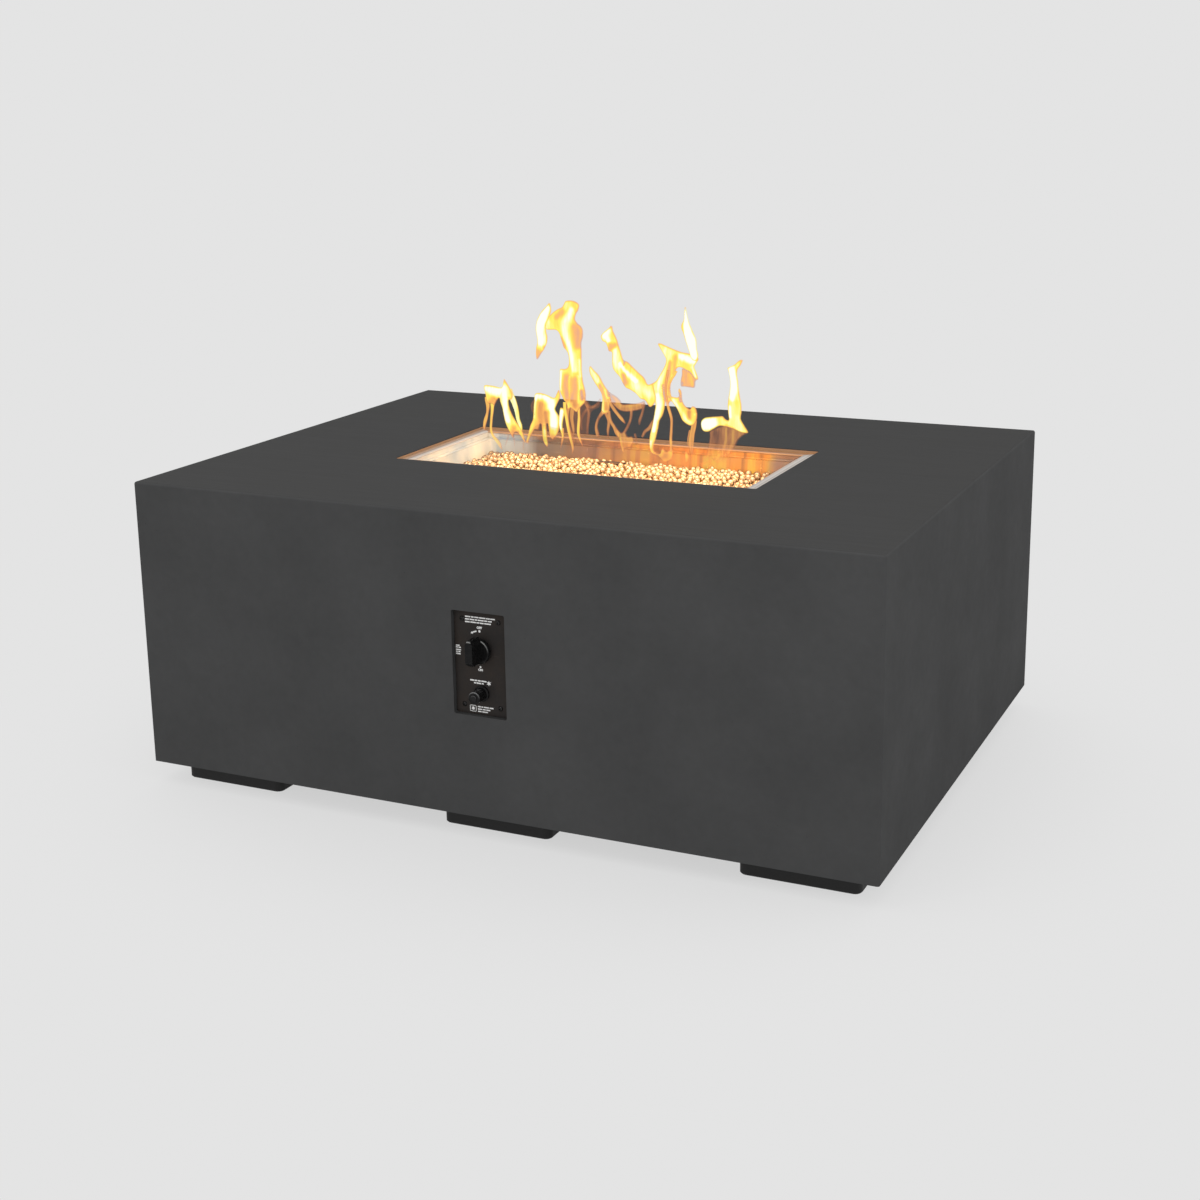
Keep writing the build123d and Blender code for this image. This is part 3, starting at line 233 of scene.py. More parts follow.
def new_group(name, inputs, outputs):
    """An empty shader group with named float, vector or colour sockets, its inputs and its end sockets."""
    tree = bpy.data.node_groups.new(name, "ShaderNodeTree")
    for label, kind, value in inputs:
        socket = tree.interface.new_socket(label, in_out="INPUT", socket_type="NodeSocket" + kind)
        socket.default_value = value
    for label, kind in outputs:
        tree.interface.new_socket(label, in_out="OUTPUT", socket_type="NodeSocket" + kind)
    return tree, tree.nodes.new("NodeGroupInput").outputs, tree.nodes.new("NodeGroupOutput").inputs


def ended(tree, out, **results):
    """The group with its results linked to its end sockets."""
    for name, value in results.items():
        tree.links.new(value, out[name])
    return tree


def spot(tree):
    """The place on the piece, in metres."""
    return put(tree, "ShaderNodeTexCoord").outputs["Object"]


def attribute(tree, name):
    """A number that the mesh carries at each point."""
    return put(tree, "ShaderNodeAttribute", attribute_name=name, attribute_type="GEOMETRY").outputs["Fac"]


def facing_way(tree):
    """The three parts of the direction that the surface faces."""
    return xyz(tree, put(tree, "ShaderNodeNewGeometry").outputs["Normal"])


MARKS = [("Mask", "Float"), ("Height", "Float")]


def mottle_group():
    """Cloudy patches, such as pigment in concrete or tone in moulded plastic."""
    tree, given, out = new_group("Mottle", [("Patch", "Float", 0.08), ("Contrast", "Float", 1.0)], MARKS)
    scale = maths(tree, "DIVIDE", 1.0, given["Patch"])
    place = spot(tree)
    broad = soft_noise(tree, place, scale, 5.0, 0.55)
    fine = soft_noise(tree, place, times(tree, scale, 9.0), 4.0, 0.6)
    both = plus(tree, broad, times(tree, fine, 0.35))
    spread = times(tree, minus(tree, both, 0.675), times(tree, given["Contrast"], 2.4))
    return ended(tree, out, Mask=plus(tree, spread, 0.5, clamp=True), Height=fine)


def pores_group():
    """Small round pits scattered over a skin: air pores in concrete, blowholes in a casting."""
    tree, given, out = new_group(
        "Pores", [("Across", "Float", 0.0012), ("Apart", "Float", 0.012), ("Share", "Float", 0.4)], MARKS
    )
    scale = maths(tree, "DIVIDE", 1.0, given["Apart"])
    cells = put(tree, "ShaderNodeTexVoronoi", {"Vector": spot(tree), "Scale": scale}).outputs
    away = times(tree, cells["Distance"], given["Apart"])
    pick = put(tree, "ShaderNodeSeparateColor", {"Color": cells["Color"]}).outputs
    reach = times(tree, given["Across"], 0.5, pick["Green"])
    inside = fade(tree, away, reach, times(tree, reach, 0.55))
    mask = times(tree, inside, maths(tree, "LESS_THAN", pick["Red"], given["Share"]))
    return ended(tree, out, Mask=mask, Height=minus(tree, 1.0, mask))


def grain_group():
    """Long fine lines, as a brush, a lathe or a mill leaves them. Stretch is each axis's own fineness."""
    tree, given, out = new_group(
        "Grain", [("Stretch", "Vector", (30.0, 900.0, 900.0)), ("Sharpness", "Float", 1.6)], MARKS
    )
    lines = soft_noise(tree, vectors(tree, "MULTIPLY", spot(tree), given["Stretch"]), 1.0, 3.0, 0.7)
    mask = plus(tree, swing(tree, lines, given["Sharpness"]), 0.5, clamp=True)
    return ended(tree, out, Mask=mask, Height=lines)


def scuff_group():
    """Thin crossing scuffs, sparse, from handling."""
    tree, given, out = new_group("Scuffs", [("Run", "Float", 0.03), ("Amount", "Float", 0.3)], MARKS)
    place = spot(tree)
    scale = maths(tree, "DIVIDE", 1.0, given["Run"])
    least = minus(tree, 0.80, times(tree, given["Amount"], 0.2))
    masks = []
    for turn in ((0.35, 0.9, 0.2), (1.2, -0.4, 2.1)):
        inputs = {"Vector": place, "Rotation": turn, "Scale": (1.0, 22.0, 22.0)}
        turned = put(tree, "ShaderNodeMapping", inputs).outputs["Vector"]
        masks.append(fade(tree, soft_noise(tree, turned, scale, 1.0), least, 0.82))
    mask = maths(tree, "MAXIMUM", *masks)
    return ended(tree, out, Mask=mask, Height=minus(tree, 1.0, mask))


def dust_group():
    """Dust that settles on what faces up, broken up by a cloud."""
    tree, given, out = new_group("Dust", [("Amount", "Float", 0.3), ("Patch", "Float", 0.05)], MARKS[:1])
    cloud = soft_noise(tree, spot(tree), maths(tree, "DIVIDE", 1.0, given["Patch"]), 6.0, 0.7)
    up = fade(tree, facing_way(tree)["Z"], 0.35, 0.95)
    return ended(tree, out, Mask=times(tree, up, cloud, given["Amount"], clamp=True))


def heat_group():
    """Oxide colours of stainless steel that has been hot: straw, bronze, plum and slate in drifting bands."""
    tree, given, out = new_group(
        "Heat tint",
        [("Patch", "Float", 0.12), ("Heat", "Float", 0.5), ("Metal", "Color", (0.62, 0.60, 0.57, 1.0))],
        [("Color", "Color")],
    )
    cloud = soft_noise(tree, spot(tree), maths(tree, "DIVIDE", 1.0, given["Patch"]), 3.0, distortion=0.6)
    hot = plus(tree, swing(tree, cloud, 1.5), given["Heat"], clamp=True)
    bands = ramp(
        tree, hot, (0.0, (0.66, 0.64, 0.60)), (0.28, (0.72, 0.62, 0.44)), (0.5, (0.62, 0.40, 0.22)),
        (0.68, (0.40, 0.24, 0.24)), (0.84, (0.26, 0.28, 0.36)), (1.0, (0.42, 0.46, 0.50)),
    )
    share = ramp(tree, hot, (0.05, 0.0), (0.35, 1.0))
    return ended(tree, out, Color=blend(tree, share, given["Metal"], bands))


GROUPS = {}


def effect(tree, maker, inputs):
    """Places a shared effect in a material with its own values. Each effect's group is built once."""
    if maker not in GROUPS:
        GROUPS[maker] = maker()
    return put(tree, "ShaderNodeGroup", inputs, node_tree=GROUPS[maker]).outputs


def bare_material(name):
    """A material with an empty tree, and its output's surface socket."""
    material = bpy.data.materials.new(name)
    material.use_nodes = True
    tree = material.node_tree
    tree.nodes.clear()
    return material, tree, tree.nodes.new("ShaderNodeOutputMaterial").inputs["Surface"]


def shaded(tree, surface, inputs):
    """Ends a material's tree in a Principled shader."""
    tree.links.new(put(tree, "ShaderNodeBsdfPrincipled", inputs).outputs[0], surface)


def bump(tree, *layers):
    """A chain of Bump nodes for layers of (height, distance in metres)."""
    chain = {}
    for height, deep in layers:
        node = put(tree, "ShaderNodeBump", {"Height": height, "Distance": deep, "Strength": 1.0, **chain})
        chain = {"Normal": node.outputs["Normal"]}
    return chain["Normal"]


def darker(tone, share):
    """A colour times a share, which may be over 1."""
    return tuple(c * share for c in tone)


def finish(
    name, tone, other, rough, metal=0.0, patch=0.04, contrast=1.0, grain=None, grain_rough=0.0, pores=None,
    scuff=0.0, scuff_tone=None, dust=0.0, rough_spread=0.08, skin=1e-5, plain=None, highlight_tone=None, painted_highlights=(),
):
    """A hard surface with two mottled tones, a narrow roughness range, and optional grain, pores, scuffs and
    dust. The last two arguments give a tone and the makers of masks for highlights painted in it along edges."""
    material, tree, surface = bare_material(name)
    cloud = effect(tree, mottle_group, {"Patch": patch, "Contrast": contrast})
    shade = blend(tree, cloud["Mask"], tone, other)
    gloss = plus(tree, times(tree, cloud["Mask"], rough_spread), rough - rough_spread / 2)
    layers = [(cloud["Height"], skin)]
    if grain:
        lines = effect(tree, grain_group, {"Stretch": grain})
        gloss = plus(tree, gloss, swing(tree, lines["Mask"], grain_rough))
        shade = blend(tree, times(tree, lines["Mask"], 0.22), shade, darker(tone, 0.72))
        layers.append((lines["Height"], 2e-6))
    if pores:
        across, apart, share = pores
        pits = effect(tree, pores_group, {"Across": across, "Apart": apart, "Share": share})
        shade = blend(tree, times(tree, pits["Mask"], 0.8), shade, darker(tone, 0.35))
        layers.append((pits["Height"], across * 0.3))
    if scuff:
        marks = effect(tree, scuff_group, {"Amount": scuff})
        shade = blend(tree, times(tree, marks["Mask"], 0.45), shade, scuff_tone)
        gloss = plus(tree, gloss, times(tree, marks["Mask"], 0.12))
        layers.append((marks["Height"], 4e-6))
    # Painted highlights: edges that would catch the light are painted in the highlight tone.
    for maker in painted_highlights:
        shade = blend(tree, maker(tree), shade, highlight_tone)
    if dust:
        fall = effect(tree, dust_group, {"Amount": dust})
        shade = blend(tree, fall["Mask"], shade, (0.30, 0.28, 0.25))
        gloss = plus(tree, gloss, times(tree, fall["Mask"], 0.35), clamp=True)
    look = {"Base Color": shade, "Roughness": gloss, "Metallic": metal, "Normal": bump(tree, *layers)}
    shaded(tree, surface, {**look, **(plain or {})})
    return material


def turned_axis(node):
    """The axis (x, z) of a piece whose lower half is round, and its front (y)."""
    low, high = thing_box(node)
    r = (high.x - low.x) / 2
    return (low.x + r, low.z + r), low.y


def painted_highlight_ring(node, radii, depths):
    """The maker of a mask for a painted highlight on a ring round a turned piece, between two radii and two
    depths behind its front, all in millimetres. It is 1 at the top and fades to 0 at the height of the axis,
    like light from above."""
    (x, z), front = turned_axis(node)

    def mask(tree):
        place = xyz(tree, spot(tree))
        above = minus(tree, place["Z"], z)
        away = put(tree, "ShaderNodeCombineXYZ", {"X": minus(tree, place["X"], x), "Y": above}).outputs[0]
        r = vectors(tree, "LENGTH", away)
        return times(
            tree,
            maths(tree, "GREATER_THAN", r, radii[0] * MM), maths(tree, "LESS_THAN", r, radii[1] * MM),
            maths(tree, "GREATER_THAN", place["Y"], front + depths[0] * MM),
            maths(tree, "LESS_THAN", place["Y"], front + depths[1] * MM),
            fade(tree, above, 0.0, radii[1] * MM),
        )

    return mask


def wear(material, *nodes):
    """Gives CAD nodes a finish."""
    for node in nodes:
        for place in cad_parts[node].material_slots:
            place.material = material


# ------------------------------------------------------------------ meshes


def mesh_of(work, name):
    """The mesh that a bmesh holds. The bmesh itself goes."""
    mesh = bpy.data.meshes.new(name)
    work.to_mesh(mesh)
    work.free()
    return mesh


def solid(name, mesh, material, smooth=False):
    """An object at the origin that holds a finished mesh."""
    mesh.name = name
    mesh.materials.clear()
    mesh.materials.append(material)
    for face in mesh.polygons:
        face.use_smooth = smooth
    thing = bpy.data.objects.new(name, mesh)
    bpy.context.scene.collection.objects.link(thing)
    return thing


def applied(source, place=Matrix()):
    """The plain mesh of an object with its modifiers applied, moved to its place. The object itself goes."""
    bpy.context.view_layer.update()
    mesh = bpy.data.meshes.new_from_object(source.evaluated_get(bpy.context.evaluated_depsgraph_get()))
    mesh.transform(place)
    bpy.data.objects.remove(source, do_unlink=True)
    return mesh


def joined(*meshes):
    """Several meshes in one."""
    work = bmesh.new()
    for mesh in meshes:
        work.from_mesh(mesh)
    return mesh_of(work, "joined")


def block(low, high):
    """A box mesh between two corners."""
    work = bmesh.new()
    bmesh.ops.create_cube(work, size=1.0)
    middle, span = [(a + b) / 2 for a, b in zip(low, high)], [b - a for a, b in zip(low, high)]
    for vertex in work.verts:
        vertex.co = Vector(m + c * s for m, c, s in zip(middle, vertex.co, span))
    return mesh_of(work, "block")


def thing_box(node):
    """A node's lowest and highest corners as vectors."""
    low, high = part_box(node)
    return Vector(low), Vector(high)


# ------------------------------------------------------------------ geometry trees


def new_tree(name, inputs):
    """A geometry tree with named inputs, its input sockets by name and its output socket."""
    tree = bpy.data.node_groups.new(name, "GeometryNodeTree")
    sockets = {}
    for label, kind in [("Geometry", "Geometry")] + inputs:
        socket = tree.interface.new_socket(label, in_out="INPUT", socket_type="NodeSocket" + kind)
        sockets[label] = socket.identifier
    tree.interface.new_socket("Geometry", in_out="OUTPUT", socket_type="NodeSocketGeometry")
    start, end = tree.nodes.new("NodeGroupInput"), tree.nodes.new("NodeGroupOutput")
    return tree, start.outputs, end.inputs[0], sockets


def realized(tree, laid, material, out):
    """Ends a geometry tree: what it laid out becomes real geometry with its material."""
    real = put(tree, "GeometryNodeRealizeInstances", {"Geometry": laid}).outputs[0]
    finished = put(tree, "GeometryNodeSetMaterial", {"Geometry": real, "Material": material})
    tree.links.new(finished.outputs[0], out)


def grown(name, tree, sockets, base, values):
    """The plain mesh that a geometry tree makes from a base mesh and its input values."""
    source = bpy.data.objects.new(name + "_source", base)
    bpy.context.scene.collection.objects.link(source)
    modifier = source.modifiers.new("tree", "NODES")
    modifier.node_group = tree
    for label, value in values.items():
        modifier[sockets[label]] = value
    mesh = applied(source)
    bpy.data.meshes.remove(base)
    return mesh


def pebble(tree):
    """A round pebble of 24 faces and unit width."""
    cube = put(tree, "GeometryNodeMeshCube", {"Vertices X": 3, "Vertices Y": 3, "Vertices Z": 3})
    ball = vectors(tree, "NORMALIZE", put(tree, "GeometryNodeInputPosition").outputs[0])
    half = vectors(tree, "SCALE", ball, scale=0.5)
    round_cube = put(tree, "GeometryNodeSetPosition", {"Geometry": cube.outputs["Mesh"], "Position": half})
    return put(tree, "GeometryNodeSetShadeSmooth", {"Geometry": round_cube.outputs[0]}).outputs[0]


def chance(tree, kind, low, high, seed, stream):
    """A random value of its own stream."""
    node = put(tree, "FunctionNodeRandomValue", data_type=kind)
    first = {"FLOAT": 2, "FLOAT_VECTOR": 0}[kind]
    feed(tree, node, {first: low, first + 1: high, "Seed": plus(tree, seed, stream)})
    return node.outputs[1 if kind == "FLOAT" else 0]


def bead_tree():
    """Pours layers of tumbled beads over a bed's face, each turned, stretched and tinted by chance."""
    tree, given, out, sockets = new_tree(
        "Bead bed", [("Bead", "Float"), ("Spacing", "Float"), ("Seed", "Int"), ("Material", "Material")]
    )
    stone = pebble(tree)
    layers = put(tree, "GeometryNodeJoinGeometry")
    for drop, stream in ((0.30, 0), (-0.34, 20), (-0.95, 40)):
        seed = plus(tree, given["Seed"], stream + 1)
        points = put(
            tree, "GeometryNodeDistributePointsOnFaces",
            {"Mesh": given["Geometry"], "Distance Min": given["Spacing"], "Density Max": 30000.0,
             "Seed": seed},
            distribute_method="POISSON",
        ).outputs["Points"]
        height = times(tree, plus(tree, chance(tree, "FLOAT", -0.28, 0.18, seed, 2), drop), given["Bead"])
        lift = put(tree, "ShaderNodeCombineXYZ", {"Z": height}).outputs[0]
        points = put(tree, "GeometryNodeSetPosition", {"Geometry": points, "Offset": lift}).outputs[0]
        stretch = chance(tree, "FLOAT_VECTOR", (0.84, 0.84, 0.70), (1.16, 1.12, 1.0), seed, 3)
        size = vectors(tree, "SCALE", stretch, scale=given["Bead"])
        turn = chance(tree, "FLOAT_VECTOR", (-3.14, -3.14, -3.14), (3.14, 3.14, 3.14), seed, 4)
        poured = put(
            tree, "GeometryNodeInstanceOnPoints",
            {"Points": points, "Instance": stone, "Scale": size, "Rotation": turn},
        ).outputs[0]
        marked = put(
            tree, "GeometryNodeStoreNamedAttribute",
            {"Geometry": poured, "Name": "bead_tint", "Value": chance(tree, "FLOAT", 0.0, 1.0, seed, 5)},
            data_type="FLOAT", domain="INSTANCE",
        ).outputs[0]
        tree.links.new(marked, layers.inputs[0])
    realized(tree, layers.outputs[0], given["Material"], out)
    return tree, sockets


def weld_tree():
    """Lays a rippled weld bead along the edges of a base mesh."""
    tree, given, out, sockets = new_tree(
        "Weld bead", [("Width", "Float"), ("Pitch", "Float"), ("Seed", "Int"), ("Material", "Material")]
    )
    path = put(tree, "GeometryNodeMeshToCurve", {"Mesh": given["Geometry"]}).outputs[0]
    points = put(
        tree, "GeometryNodeCurveToPoints", {"Curve": path, "Length": given["Pitch"]}, mode="LENGTH"
    ).outputs["Points"]
    seed = plus(tree, given["Seed"], 1)
    stretch = chance(tree, "FLOAT_VECTOR", (0.9, 0.9, 0.85), (1.12, 1.12, 1.1), seed, 1)
    size = vectors(tree, "SCALE", stretch, scale=given["Width"])
    laid = put(
        tree, "GeometryNodeInstanceOnPoints", {"Points": points, "Instance": pebble(tree), "Scale": size}
    ).outputs[0]
    realized(tree, laid, given["Material"], out)
    return tree, sockets


# ------------------------------------------------------------------ operators: the casting and its frame


class FIRETABLE_OT_casting(bpy.types.Operator):
    """Finish the concrete casting: pigmented concrete with air pores, faint trowel marks and shade painted on its
    top
    """

    bl_idname = "firetable.casting"
    bl_label = "Concrete casting"

    def execute(self, context):
        given = context.scene.fire_table.concrete
        tone = tuple(given.tone)
        material, tree, surface = bare_material("cast_concrete")
        cloud = effect(tree, mottle_group, {"Patch": 0.16, "Contrast": 0.8})
        speckle = effect(tree, mottle_group, {"Patch": 0.012, "Contrast": 0.9})
        trowel = effect(tree, grain_group, {"Stretch": (7.0, 150.0, 150.0), "Sharpness": 1.5})
        pores = effect(tree, pores_group, {"Across": given.pore, "Apart": 0.011, "Share": 0.22})
        way = facing_way(tree)
        flat = ramp(tree, way["Z"], (0.75, 0.0), (0.97, 1.0))
        shade = blend(tree, cloud["Mask"], darker(tone, 0.90), darker(tone, 1.12))
        # Painted shade on the upward faces, in cloudy patches, toward the darker top shade grey.
        top_shade = times(tree, flat, plus(tree, times(tree, cloud["Mask"], 0.35), 0.45))
        shade = blend(tree, top_shade, shade, given.top_shade)
        shade = blend(tree, times(tree, speckle["Mask"], 0.16), shade, darker(tone, 0.72))
        shade = blend(tree, times(tree, trowel["Mask"], flat, 0.20), shade, darker(tone, 1.5))
        shade = blend(tree, times(tree, pores["Mask"], 0.75), shade, darker(tone, 0.3))
        shade = blend(tree, self.tan_edge_mask(tree, way), shade, given.edge_tan)
        shaded(tree, surface, {
            "Base Color": shade,
            "Roughness": minus(tree, 0.72, times(tree, cloud["Mask"], 0.10)),
            "Specular IOR Level": 0.01,
            "Normal": bump(tree, (cloud["Height"], 4e-5), (speckle["Height"], 3e-5), (pores["Height"], 4e-4)),
        })
        wear(material, "concrete_shell")
        return {"FINISHED"}

    def tan_edge_mask(self, tree, way):
        """1 on the upright cut edge over the pan's rim, below the arris, which is coloured tan brown there."""
        low, high = thing_box("burner_pan")
        half = (high - low) / 2
        place = xyz(tree, vectors(tree, "ABSOLUTE", vectors(tree, "SUBTRACT", spot(tree), (low + high) / 2)))
        return times(
            tree,
            maths(tree, "LESS_THAN", place["X"], half.x + 8 * MM),
            maths(tree, "LESS_THAN", place["Y"], half.y + 8 * MM),
            maths(tree, "GREATER_THAN", place["Z"], half.z - 1.5 * MM),
            maths(tree, "LESS_THAN", place["Z"], half.z + 3.0 * MM),
            maths(tree, "LESS_THAN", maths(tree, "ABSOLUTE", way["Z"]), 0.6),
        )


class FIRETABLE_OT_frame(bpy.types.Operator):
    """Finish the hidden steel frame, lay its weld beads, and finish its bolts and the rubber feet"""

    bl_idname = "firetable.frame"
    bl_label = "Frame and feet"

    def execute(self, context):
        primer = finish(
            "primed_angle", (0.020, 0.020, 0.021), (0.030, 0.029, 0.028), 0.52, patch=0.05, contrast=0.8,
            pores=(0.0007, 0.006, 0.35), scuff=0.35, scuff_tone=(0.16, 0.15, 0.14), skin=3e-5,
        )
        wear(
            primer, "frame_rail_front", "frame_rail_rear", "frame_rail_left", "frame_rail_right",
            "frame_cross_left", "frame_cross_right", "foot_plates",
        )
        rubber = finish(
            "moulded_rubber", (0.0105, 0.0105, 0.011), (0.017, 0.0165, 0.016), 0.62, patch=0.02, contrast=0.9,
            pores=(0.0006, 0.004, 0.3), dust=0.10, skin=4e-5, plain={"Specular IOR Level": 0.35},
        )
        for row in ("front", "rear"):
            for side in ("left", "centre", "right"):
                wear(rubber, f"foot_{row}_{side}")
        zinc = finish(
            "zinc_plate", (0.52, 0.53, 0.52), (0.66, 0.66, 0.62), 0.34, metal=1.0, patch=0.006, contrast=1.2,
            grain=(1200.0, 1200.0, 200.0), grain_rough=0.12, scuff=0.4, scuff_tone=(0.75, 0.74, 0.70),
        )
        wear(
            zinc, "frame_bolts", "foot_bolts", "foot_nuts", "bonnet_screws", "valve_locknut",
            "igniter_terminals",
        )
        self.weld()
        return {"FINISHED"}

    def weld(self):
        """Rippled fillets where the four rails and the two cross bars meet."""
        bead = finish(
            "weld_metal", (0.10, 0.095, 0.09), (0.20, 0.18, 0.16), 0.45, metal=0.8, patch=0.004, contrast=1.4,
            scuff=0.2, scuff_tone=(0.3, 0.28, 0.25),
        )
        end, up = 4 * MM, 3 * MM
        runs = []
        for side in ("left", "right"):
            low, high = thing_box("frame_rail_" + side)
            bar_low, bar_high = thing_box("frame_cross_" + side)
            for start, stop in ((low, high), (bar_low, bar_high)):
                for y in (start.y, stop.y):
                    left, right, height = start.x + end, stop.x - end, start.z + up
                    runs.append(((left, y, height), (right, y, height)))
        base = bpy.data.meshes.new("runs")
        base.from_pydata([p for run in runs for p in run], [(2 * i, 2 * i + 1) for i in range(len(runs))], [])
        tree, sockets = weld_tree()
        inputs = {"Width": 4.4 * MM, "Pitch": 1.7 * MM, "Seed": 3, "Material": bead}
        mesh = grown("frame_welds", tree, sockets, base, inputs)
        welds = solid("frame_welds", mesh, bead, smooth=True)
        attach(welds, "table")


# ------------------------------------------------------------------ operators: the fire


class FIRETABLE_OT_pan(bpy.types.Operator):
    """Finish the burner pan: rolled stainless sheet with the oxide colours of many fires, and painted reflection
    of the flames, painted highlight on its flange and painted shade under its folds
    """

    bl_idname = "firetable.pan"
    bl_label = "Burner pan"

    def execute(self, context):
        material, tree, surface = bare_material("heat_tinted_sheet")
        place = xyz(tree, spot(tree))
        low, high = thing_box("burner_pan")
        across = fade(tree, place["X"], low.x, high.x)
        down = fade(tree, place["Z"], high.z, high.z - 20 * MM)
        on_rim = ramp(tree, down, (0.08, 1.0), (0.12, 0.0))
        cloud = effect(tree, mottle_group, {"Patch": 0.02, "Contrast": 1.1})
        lines = effect(tree, grain_group, {"Stretch": (420.0, 420.0, 12.0), "Sharpness": 1.2})
        marks = effect(tree, scuff_group, {"Run": 0.05, "Amount": 0.3})
        # The flange's end ramps hold painted highlight and painted shade lines.
        rim, left_end = self.rim(tree, place, across, low, high)
        # Painted shade: the flange's shadow on the collar, and a darker shelf.
        shade = self.painted_fold_shade(tree, self.tint(tree, across), down, left_end)
        shade = blend(tree, on_rim, shade, rim)
        shade = blend(tree, times(tree, cloud["Mask"], 0.10), shade, (0.34, 0.29, 0.24))
        shade = blend(tree, times(tree, marks["Mask"], 0.12), shade, (0.80, 0.78, 0.74))
        rough = plus(tree, 0.16, times(tree, cloud["Mask"], 0.08))
        rough = plus(tree, rough, times(tree, lines["Mask"], 0.06))
        bright = ramp(tree, across, (0.03, 0.05), (0.12, 0.35), (0.4, 0.6), (0.8, 0.7))
        shaded(tree, surface, {
            "Base Color": shade,
            "Roughness": rough,
            "Metallic": times(tree, bright, minus(tree, 1.0, times(tree, on_rim, 0.75))),
            "Normal": bump(tree, (lines["Height"], 1e-6), (cloud["Height"], 1e-5)),
        })
        wear(material, "burner_pan")
        return {"FINISHED"}

    def tint(self, tree, across):
        """Oxide colours from the cool left end to the hot right side, drawn out in upright streaks. The orange of
        the right half and the straw streaks are painted reflection of the flames over the oxide colours.
        """
        drift = soft_noise(tree, spot(tree), 9.0, 3.0, distortion=0.5)
        run = soft_noise(tree, vectors(tree, "MULTIPLY", spot(tree), (48.0, 10.0, 3.0)), 1.0, 3.0)
        swayed = plus(tree, across, swing(tree, run, 0.16), clamp=True)
        swayed = plus(tree, swayed, swing(tree, drift, 0.10), clamp=True)
        tint = ramp(
            tree, swayed, (0.035, (1.0, 0.92, 0.78)), (0.075, (0.54, 0.60, 0.66)), (0.16, (0.43, 0.46, 0.50)),
            (0.215, (0.15, 0.135, 0.15)), (0.28, (0.26, 0.16, 0.13)), (0.40, (0.46, 0.25, 0.17)),
            (0.50, (0.72, 0.34, 0.15)), (0.64, (0.98, 0.44, 0.13)), (0.86, (1.0, 0.48, 0.12)),
            (0.895, (0.52, 0.34, 0.28)), (0.98, (0.44, 0.38, 0.36)),
        )
        # Painted reflection of the flames: yellow streaks over the right half.
        straw = times(
            tree, ramp(tree, across, (0.33, 0.0), (0.7, 1.0)), ramp(tree, run, (0.49, 0.0), (0.57, 1.0)),
            ramp(tree, across, (0.86, 1.0), (0.90, 0.0)),
        )
        tint = blend(tree, straw, tint, (1.0, 0.72, 0.16))
        heat = effect(tree, heat_group, {"Patch": 0.10, "Heat": 0.42, "Metal": tint})
        used = times(tree, ramp(tree, across, (0.05, 0.0), (0.3, 1.0)), 0.22)
        tint = blend(tree, used, tint, heat["Color"])
        plum = times(
            tree, ramp(tree, across, (0.26, 0.0), (0.34, 1.0)), ramp(tree, run, (0.37, 1.0), (0.44, 0.0)), 0.6
        )
        return blend(tree, plum, tint, (0.26, 0.17, 0.14))

    def rim(self, tree, place, across, low, high):
        """The flange's colour, a ramp inwards from its outer edge that differs on each side, and a mask that
        is 1 over the pan's left end. The pale and dark bands of the two ends' ramps are painted highlight and
        painted shade on the flange's ridges and between them."""
        middle, half = (low + high) / 2, (high - low) / 2
        from_edge = [
            minus(tree, half[axis], maths(tree, "ABSOLUTE", minus(tree, place["XYZ"[axis]], middle[axis])))
            for axis in (0, 1)
        ]
        at_end = maths(tree, "LESS_THAN", *from_edge)
        left = times(tree, at_end, ramp(tree, across, (0.45, 1.0), (0.55, 0.0)))
        right = times(tree, at_end, ramp(tree, across, (0.45, 0.0), (0.55, 1.0)))
        inset = fade(tree, maths(tree, "MINIMUM", *from_edge), 0.0, 25 * MM)
        rim = ramp(
            tree, inset, (0.10, (0.56, 0.27, 0.11)), (0.50, (0.36, 0.16, 0.06)), (0.80, (0.62, 0.30, 0.13))
        )
        rim = blend(tree, left, rim, ramp(
            tree, inset, (0.10, (0.58, 0.36, 0.22)), (0.36, (0.46, 0.30, 0.20)), (0.42, (0.26, 0.18, 0.14)),
            (0.52, (0.56, 0.44, 0.34)), (0.78, (0.70, 0.58, 0.47)),
        ))
        rim = blend(tree, right, rim, ramp(
            tree, inset, (0.06, (0.74, 0.64, 0.56)), (0.20, (0.62, 0.54, 0.47)), (0.32, (0.36, 0.32, 0.28)),
            (0.48, (0.56, 0.50, 0.44)), (0.62, (0.42, 0.37, 0.33)), (0.80, (0.44, 0.33, 0.25)),
        ))
        return rim, left

    def painted_fold_shade(self, tree, shade, down, left_end):
        """Painted shade in darker bands where the sheet is folded: the flange's shadow on the collar under it,
        and the shelf under that, darkened against the firelight that it catches more than the wall.
        """
        collar = ramp(tree, down, (0.10, 0.0), (0.12, 0.6), (0.16, 0.6), (0.20, 0.0))
        shade = blend(tree, times(tree, collar, minus(tree, 1.0, left_end)), shade, (0.30, 0.20, 0.14))
        shelf = ramp(tree, down, (0.46, 0.0), (0.50, 0.4), (0.58, 0.4), (0.62, 0.0))
        return blend(tree, shelf, shade, blend(tree, 1.0, shade, (0.55, 0.50, 0.46), "MULTIPLY"))


